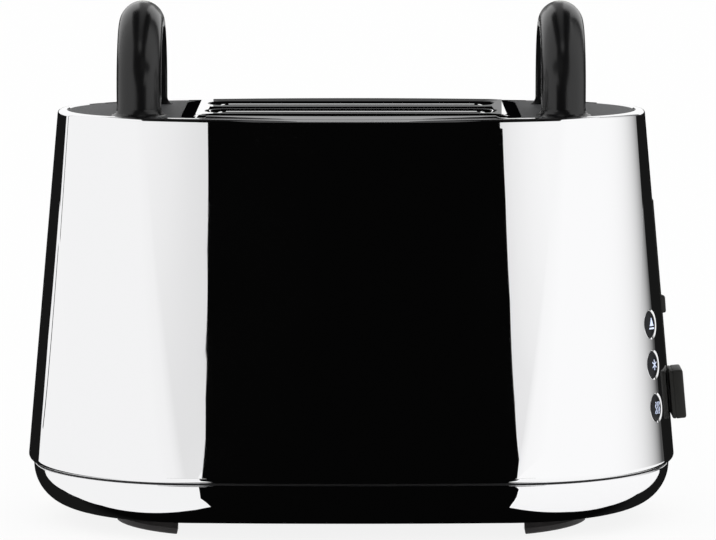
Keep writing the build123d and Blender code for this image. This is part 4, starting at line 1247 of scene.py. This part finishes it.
    def ladder(self, name: str, pairs: Sequence[Sequence[Sequence[float]]],
               levels: Sequence[float] | float = 0.0) -> None:
        """Hang a panel made of strips between pairs of points.

        Args:
            name: the panel's name.
            pairs: two points for each rung.
            levels: its brightness, or one value for each rung.
        """
        corners = [point for pair in pairs for point in pair]
        faces = [(2 * i, 2 * i + 2, 2 * i + 3, 2 * i + 1) for i in range(len(pairs) - 1)]
        self.card(name, corners, faces, np.repeat(np.broadcast_to(levels, len(pairs)), 2))

    def ring_card(self, name: str, bearings: Sequence[float], low: float, high: float,
                  levels: Sequence[float] | float = 0.0, share: float = 1.0) -> None:
        """Hang a bent panel on the far circle.

        Args:
            name: the panel's name.
            bearings: its upright edges.
            low: the height of its lower edge.
            high: the height of its upper edge.
            levels: its brightness, or one value for each edge.
            share: its circle's radius as a share of the far one.
        """
        turns = np.radians(np.asarray(bearings, float))
        x, y = np.sin(turns) * self.far * share, -np.cos(turns) * self.far * share
        self.ladder(name, [((a, b, low), (a, b, high)) for a, b in zip(x, y)], levels)

    def fan(self, name: str, centre: Sequence[float], bearings: Sequence[float],
            levels: Sequence[float] | float) -> None:
        """Lay a flat fan on the floor, from round a centre out to the far circle, in strips of bearing.

        Args:
            name: the panel's name.
            centre: where its strips would meet.
            bearings: the edges between its strips.
            levels: its brightness, or one value for each edge.
        """
        turns = np.radians(np.asarray(bearings, float))
        rungs = [[(centre[0] + math.sin(turn) * reach, centre[1] - math.cos(turn) * reach, self.fan_z)
                  for reach in (self.fan_start, self.far)] for turn in turns]
        self.ladder(name, rungs, levels)

    def wing(self, name: str, edge: Sequence[tuple[float, float]], side: int,
             steps: Sequence[tuple[float, float]]) -> None:
        """Hang a panel beside the front one that brightens away from it in steps of distance.

        Args:
            name: the panel's name.
            edge: the front panel's edge on that side.
            side: one for the right, minus one for the left.
            steps: distance from the edge, and the brightness there.
        """
        corners = [(x + side * off, self.front_y, z) for x, z in edge for off, _ in steps]
        levels = [level for _ in edge for _, level in steps]
        wide = len(steps)
        faces = [(i * wide + j, i * wide + j + 1, (i + 1) * wide + j + 1, (i + 1) * wide + j)
                 for i in range(len(edge) - 1) for j in range(wide - 1)]
        self.card(name, corners, faces, levels)

    def front(self) -> None:
        """Hang the black panel in front, its part overhead, and the pale panels beside it."""
        near = [((left, self.near_y, low), (right, self.near_y, high))
                for (left, low), (right, high) in zip(self.near_left, self.near_right)]
        self.ladder("near_panel", near, self.black)
        foot = [(self.front_left[0][0], 0.0), (self.front_right[0][0], 0.0)]
        outline = [*foot, *self.front_right, *reversed(self.front_left)]
        self.card("front_panel", [(x, self.front_y, z) for x, z in outline], levels=self.black)
        self.card("handle_panel", [(x, self.front_y + self.handle_gap, z) for x, z in self.handle_panel],
                  levels=self.black)
        self.ladder("high_panel", [((-x, y, z), (x, y, z)) for x, y, z in self.high_front], self.black)
        self.wing("left_wing", self.front_left, -1, self.left_wing)
        self.wing("right_wing", self.front_right, 1, self.right_wing)

    def behind(self) -> None:
        """Lay the black floor sheet, which is painted shadow round the bowl's foot, and hang the low dark
        panels behind.
        """
        rungs = [((*left, self.floor_z), (*right, self.floor_z))
                 for left, right in zip(self.flag_and_shadow_left, self.flag_and_shadow_right)]
        self.ladder("floor_flag_and_painted_shadow", rungs, [self.black if left[1] < self.floor_change_y else self.back_black
                                           for left in self.flag_and_shadow_left])
        start, stop = self.back_bearings
        for side, word in ((-1, "left"), (1, "right")):
            self.ring_card(f"{word}_back_panel", side * np.linspace(start, stop, 12), 0.0, self.back_high,
                           self.back_black)
        self.ring_card("middle_back_panel", np.linspace(stop, 360 - stop, 5), 0.0, self.middle_high,
                       self.back_black)

    def above(self) -> None:
        """Hang what the slot plate and the lips show: a grey step behind and the level sheets."""
        x, y = self.slot_grey_x, self.slot_grey_y
        self.ladder("slot_grey_panel", [((-x, y, z), (x, y, z)) for z, _ in self.slot_grey],
                    [level for _, level in self.slot_grey])
        for sheet in self.sheets:
            self.ladder(sheet.name, [((-x, y, z), (x, y, z)) for y, x, z in sheet.rungs], sheet.level)

    def sides(self) -> None:
        """Hang the white left side with its thin dark line, and the right side that fades to the rear.

        The right side's brightness falls from one by a power of the share of the way to black.
        """
        self.ring_card("left_strip", self.strip_bearings, 0.0, self.wall_high, share=self.strip_share)
        self.card("left_floor_strip", [(x, y, self.strip_floor_z) for x, y in self.strip_floor])
        self.ring_card("left_white_panel", np.linspace(*self.left_bearings, 26), self.wall_low,
                       self.wall_high, self.left_level, self.white_share)
        self.fan("left_white_floor", self.left_centre, np.linspace(*self.left_floor_bearings, 24),
                 self.left_level)
        bearings = np.arange(*self.right_bearings, 1.0)
        share = (bearings - self.right_bearings[0]) / (self.right_black - self.right_bearings[0])
        levels = np.maximum(1 - share ** self.right_power, self.right_least)
        self.ring_card("right_fade_panel", bearings, self.wall_low, self.wall_high, levels, self.white_share)
        self.fan("right_fade_floor", self.right_centre, bearings, levels)

    def floor(self) -> None:
        """Lay the floor: white to the camera and to mirrors, with the object's soft shadow."""
        mesh = bpy.data.meshes.new("floor")
        reach = self.floor_reach
        mesh.from_pydata([(-reach, -reach, 0), (reach, -reach, 0), (reach, reach, 0), (-reach, reach, 0)],
                         [], [(0, 1, 2, 3)])
        plane = bpy.data.objects.new("floor", mesh)
        bpy.context.scene.collection.objects.link(plane)
        material, tree, output = new_material("floor_white")
        matte = add_node(tree, "BsdfDiffuse", values={"Color": (*(self.floor_colour,) * 3, 1)})
        glow = add_node(tree, "Emission", values={"Color": (1, 1, 1, 1), "Strength": 1.0})
        share = add_node(tree, "Math", {0: self.seen(tree)}, {1: self.floor_white}, operation="MULTIPLY")
        mixed = add_node(tree, "MixShader", {0: share.outputs[0], 1: matte.outputs[0], 2: glow.outputs[0]})
        tree.links.new(mixed.outputs[0], output.inputs["Surface"])
        mesh.materials.append(material)

    @staticmethod
    def seen(tree: bpy.types.NodeTree) -> bpy.types.NodeSocket:
        """One for rays from the camera and for those it sees in mirrors and glass, else nought.

        Args:
            tree: the node tree that asks.

        Returns:
            The socket that gives it.
        """
        path = add_node(tree, "LightPath").outputs
        either = add_node(tree, "Math", {0: path["Is Camera Ray"], 1: path["Is Glossy Ray"]},
                          operation="MAXIMUM")
        return add_node(tree, "Math", {0: either.outputs[0], 1: path["Is Transmission Ray"]},
                        operation="MAXIMUM").outputs[0]

    @staticmethod
    def world() -> None:
        """Light the object evenly from a plain white world."""
        world = bpy.data.worlds.new("studio")
        bpy.context.scene.world = world
        world.use_nodes = True
        tree = world.node_tree
        tree.nodes.clear()
        sky = add_node(tree, "Background", values={"Color": (1, 1, 1, 1), "Strength": 1.0})
        add_node(tree, "OutputWorld", {"Surface": sky.outputs[0]})

    def camera(self) -> None:
        """Place the camera as the photograph has it."""
        data = bpy.data.cameras.new("camera")
        data.lens = self.lens
        data.sensor_width = self.sensor
        data.clip_end = self.sight
        camera = bpy.data.objects.new("camera", data)
        bpy.context.scene.collection.objects.link(camera)
        camera.location = (self.camera_x * MM, -self.distance * MM, self.camera_z * MM)
        camera.rotation_euler = (math.radians(90 - self.pitch), 0, 0)
        bpy.context.scene.camera = camera

    def build(self) -> None:
        """Set up the whole studio."""
        bpy.context.scene.view_settings.view_transform = "Standard"
        self.world()
        self.floor()
        self.front()
        self.behind()
        self.above()
        self.sides()
        self.camera()
        log.info("studio ready")


def paint(node: str, material: bpy.types.Material) -> None:
    """Give a CAD node one material.

    Args:
        node: the node's name.
        material: the material.
    """
    mesh = frame["nodes"][node].data
    mesh.materials.clear()
    mesh.materials.append(material)


# Chromium plate on drawn steel, buffed: a near perfect mirror with the faintest haze in soft clouds.
CHROME = Finish("chrome_plate_on_drawn_steel_buffed", "#FAFAFB", 0.012, 1.0,
                roughness_spread=0.008, roughness_grain=30.0)
# Painted reflection: black with no gleam at the flat angle it is seen from, put on the chrome slot plate's
# end slopes in place of the dark handles that they mirror. Its orange peel is drawn coarser than the real
# one.
PAINTED_SLOPE_BLACK = Finish("painted_reflection_on_end_slopes", "#050506", 0.45, bump_grain=3.0, bump_height=0.004, specular=0.0)
# Pad-printed windows lit from behind: pale blue, slightly brighter than the light round them.
LIT = Finish("printed_window_backlit", "#C9D6F5", 0.4, second_colour="#E6ECFB", colour_grain=2.0, glow=0.45)

FINISHES = {
    # Moulded rubber of the joint between shell and bowl: matt, near black, with fine pores.
    "black_rubber": Finish("moulded_rubber_black", "#161617", 0.55, bump_grain=0.6, bump_height=0.01),
    # Moulded rubber of the feet: warmer and paler than the joint's, dusty in soft spots.
    "foot_rubber": Finish("moulded_rubber_feet", "#2A2727", 0.6, second_colour="#332F2F", colour_grain=6.0,
                          bump_grain=0.6, bump_height=0.015),
    # Polyamide moulded in a spark-eroded tool, whose pits break up the light. Its dark grey is partly painted
    # sheen: it stands in for the pale glare that grazing light gives the dark plastic. The pits are drawn
    # about twice as coarse as the real ones, so that they show.
    "textured_plastic": Finish("spark_textured_pa_grey_painted_sheen", "#5A5B5D", 0.55, second_colour="#434446",
                               colour_grain=1.2, bump_grain=0.7, bump_height=0.05),
    # PBT moulded in a polished tool: black handles with a long soft highlight down each side.
    "satin_black_plastic": Finish("moulded_pbt_satin_black", "#0D0D0E", 0.22, roughness_spread=0.03,
                                  bump_grain=0.5, bump_height=0.003),
    # ABS moulded in a blasted tool: the charcoal knob, matt enough to hide what lies round it.
    "knob_plastic": Finish("moulded_abs_satin_charcoal", "#232321", 0.42, bump_grain=0.4, bump_height=0.006,
                           roughness_spread=0.04, specular=0.18),
    # ABS moulded glossy and lacquered: the button caps, almost black, with a weak reflection.
    "button_black": Finish("moulded_abs_gloss_black", "#17181C", 0.3, roughness_spread=0.05, bump_grain=0.5,
                           bump_height=0.002, specular=0.14),
    # Zinc-plated sheet steel: a dull silver with cloudy patches of the plating bath.
    "zinc_steel": Finish("zinc_plated_sheet_steel", "#9A9DA0", 0.42, 1.0, second_colour="#85898D",
                         colour_grain=9.0, roughness_spread=0.08),
    # Aluminium sheet rolled bright: fine lines along the rolling direction blur what it reflects.
    "bright_aluminium": Finish("bright_rolled_aluminium", "#8E9092", 0.4, 1.0, stretch=(0.05, 1, 1),
                               roughness_spread=0.08, roughness_grain=1.0),
    # Zinc-plated screws: small bright heads, a little uneven.
    "screw_steel": Finish("zinc_plated_screw_steel", "#AEB0B2", 0.3, 1.0, roughness_spread=0.05,
                          roughness_grain=2.0),
    # Mica flakes pressed with resin: an olive brown sheet with paler flakes.
    "mica": Finish("pressed_mica_sheet", "#5E5845", 0.5, second_colour="#716A55", colour_grain=6.0),
    # Heater ribbon oxidised by use: dark brown metal with a dull sheen.
    "heater_alloy": Finish("oxidised_heater_ribbon", "#3B3531", 0.5, 0.8, second_colour="#2A2623",
                           colour_grain=8.0),
    # Nickel-plated wire of the guards and racks: grey metal, dulled by heat.
    "plated_wire": Finish("nickel_plated_wire", "#6E6D6A", 0.4, 1.0, roughness_spread=0.08,
                          roughness_grain=6.0),
    # Ground steel rod: bright, with fine streaks along it, drawn coarser than the real ones.
    "ground_steel": Finish("ground_steel_rod", "#C0C2C4", 0.2, 1.0, stretch=(1, 1, 0.05),
                           roughness_spread=0.06, roughness_grain=0.4),
    # Drawn spring wire: grey steel whose gloss changes a little from turn to turn.
    "spring_steel": Finish("drawn_spring_steel", "#9A9C9E", 0.3, 1.0, roughness_spread=0.06,
                           roughness_grain=3.0),
    # Brass bush turned from drawn bar: yellow, with faint streaks along it.
    "bush_brass": Finish("turned_brass", "#C6A35A", 0.28, 1.0, stretch=(1, 1, 0.05), roughness_spread=0.08,
                         roughness_grain=0.5),
    # Stacked iron sheets of the magnet: fine dark lines between the sheets.
    "magnet_core": Finish("laminated_iron_core", "#6E7072", 0.42, 0.9, second_colour="#4C4E50",
                          colour_grain=0.6, stretch=(0.05, 0.05, 1)),
    # PBT of the button housing: plain mid grey with a fine moulded grain.
    "housing_plastic": Finish("moulded_pbt_grey", "#5A5C5E", 0.5, bump_grain=0.5, bump_height=0.01),
    # Epoxy moulded round components: black and slightly glossy, with a fine grain.
    "component_black": Finish("moulded_epoxy_black", "#1B1B1C", 0.45, bump_grain=0.4, bump_height=0.006),
    # Glass-fibre epoxy board under green lacquer: the weave shows as a soft mottle.
    "circuit_board": Finish("glass_epoxy_board_green", "#1F4D33", 0.35, second_colour="#2A6243",
                            colour_grain=3.0),
}
# The heights of the three buttons and their turn round the end wall, the slider's turn and height,
# and the height of the knob's middle.
KEYS = ((Symbol.EJECT, Body.EJECT, 101.8), (Symbol.SNOW, Body.DEFROST, 81.8),
        (Symbol.HEAT, Body.REHEAT, 60.5))
KEYS_TURN = -26.0
SLIDER_PLACE = (17.0, 105.0)
KNOB_Z = 63.0
CHROME_SLOTS = ("chrome_shell", "chrome_base", "chrome_plate", "tray_chrome", "chrome_ring")


def main() -> None:
    """Build every piece in order."""
    logging.basicConfig(level=logging.INFO)
    Studio().build()
    chrome, painted_slope_black, lit = CHROME.build(), PAINTED_SLOPE_BLACK.build(), LIT.build()
    built = {slot: finish.build() for slot, finish in FINISHES.items()}
    built.update({slot: chrome for slot in CHROME_SLOTS})
    for part in frame["record"]["subparts"]:
        paint(part["node"], built[part["material_slot"]])
    wall = WallShape()
    places = [wall.frame(KEYS_TURN, height) for _, _, height in KEYS]
    Shell().build(chrome, places, wall.frame(*SLIDER_PLACE))
    Bowl().build(chrome)
    Plate().build(chrome, painted_slope_black)
    for (symbol, body, _), place in zip(KEYS, places):
        Key(symbol, body, place).build(chrome, built["button_black"], lit)
    Knob(wall.frame(0, KNOB_Z)).build(built["knob_plastic"])
    Spring().build(built["spring_steel"])
    Tray().build(chrome)


if __name__ == "__main__":
    main()
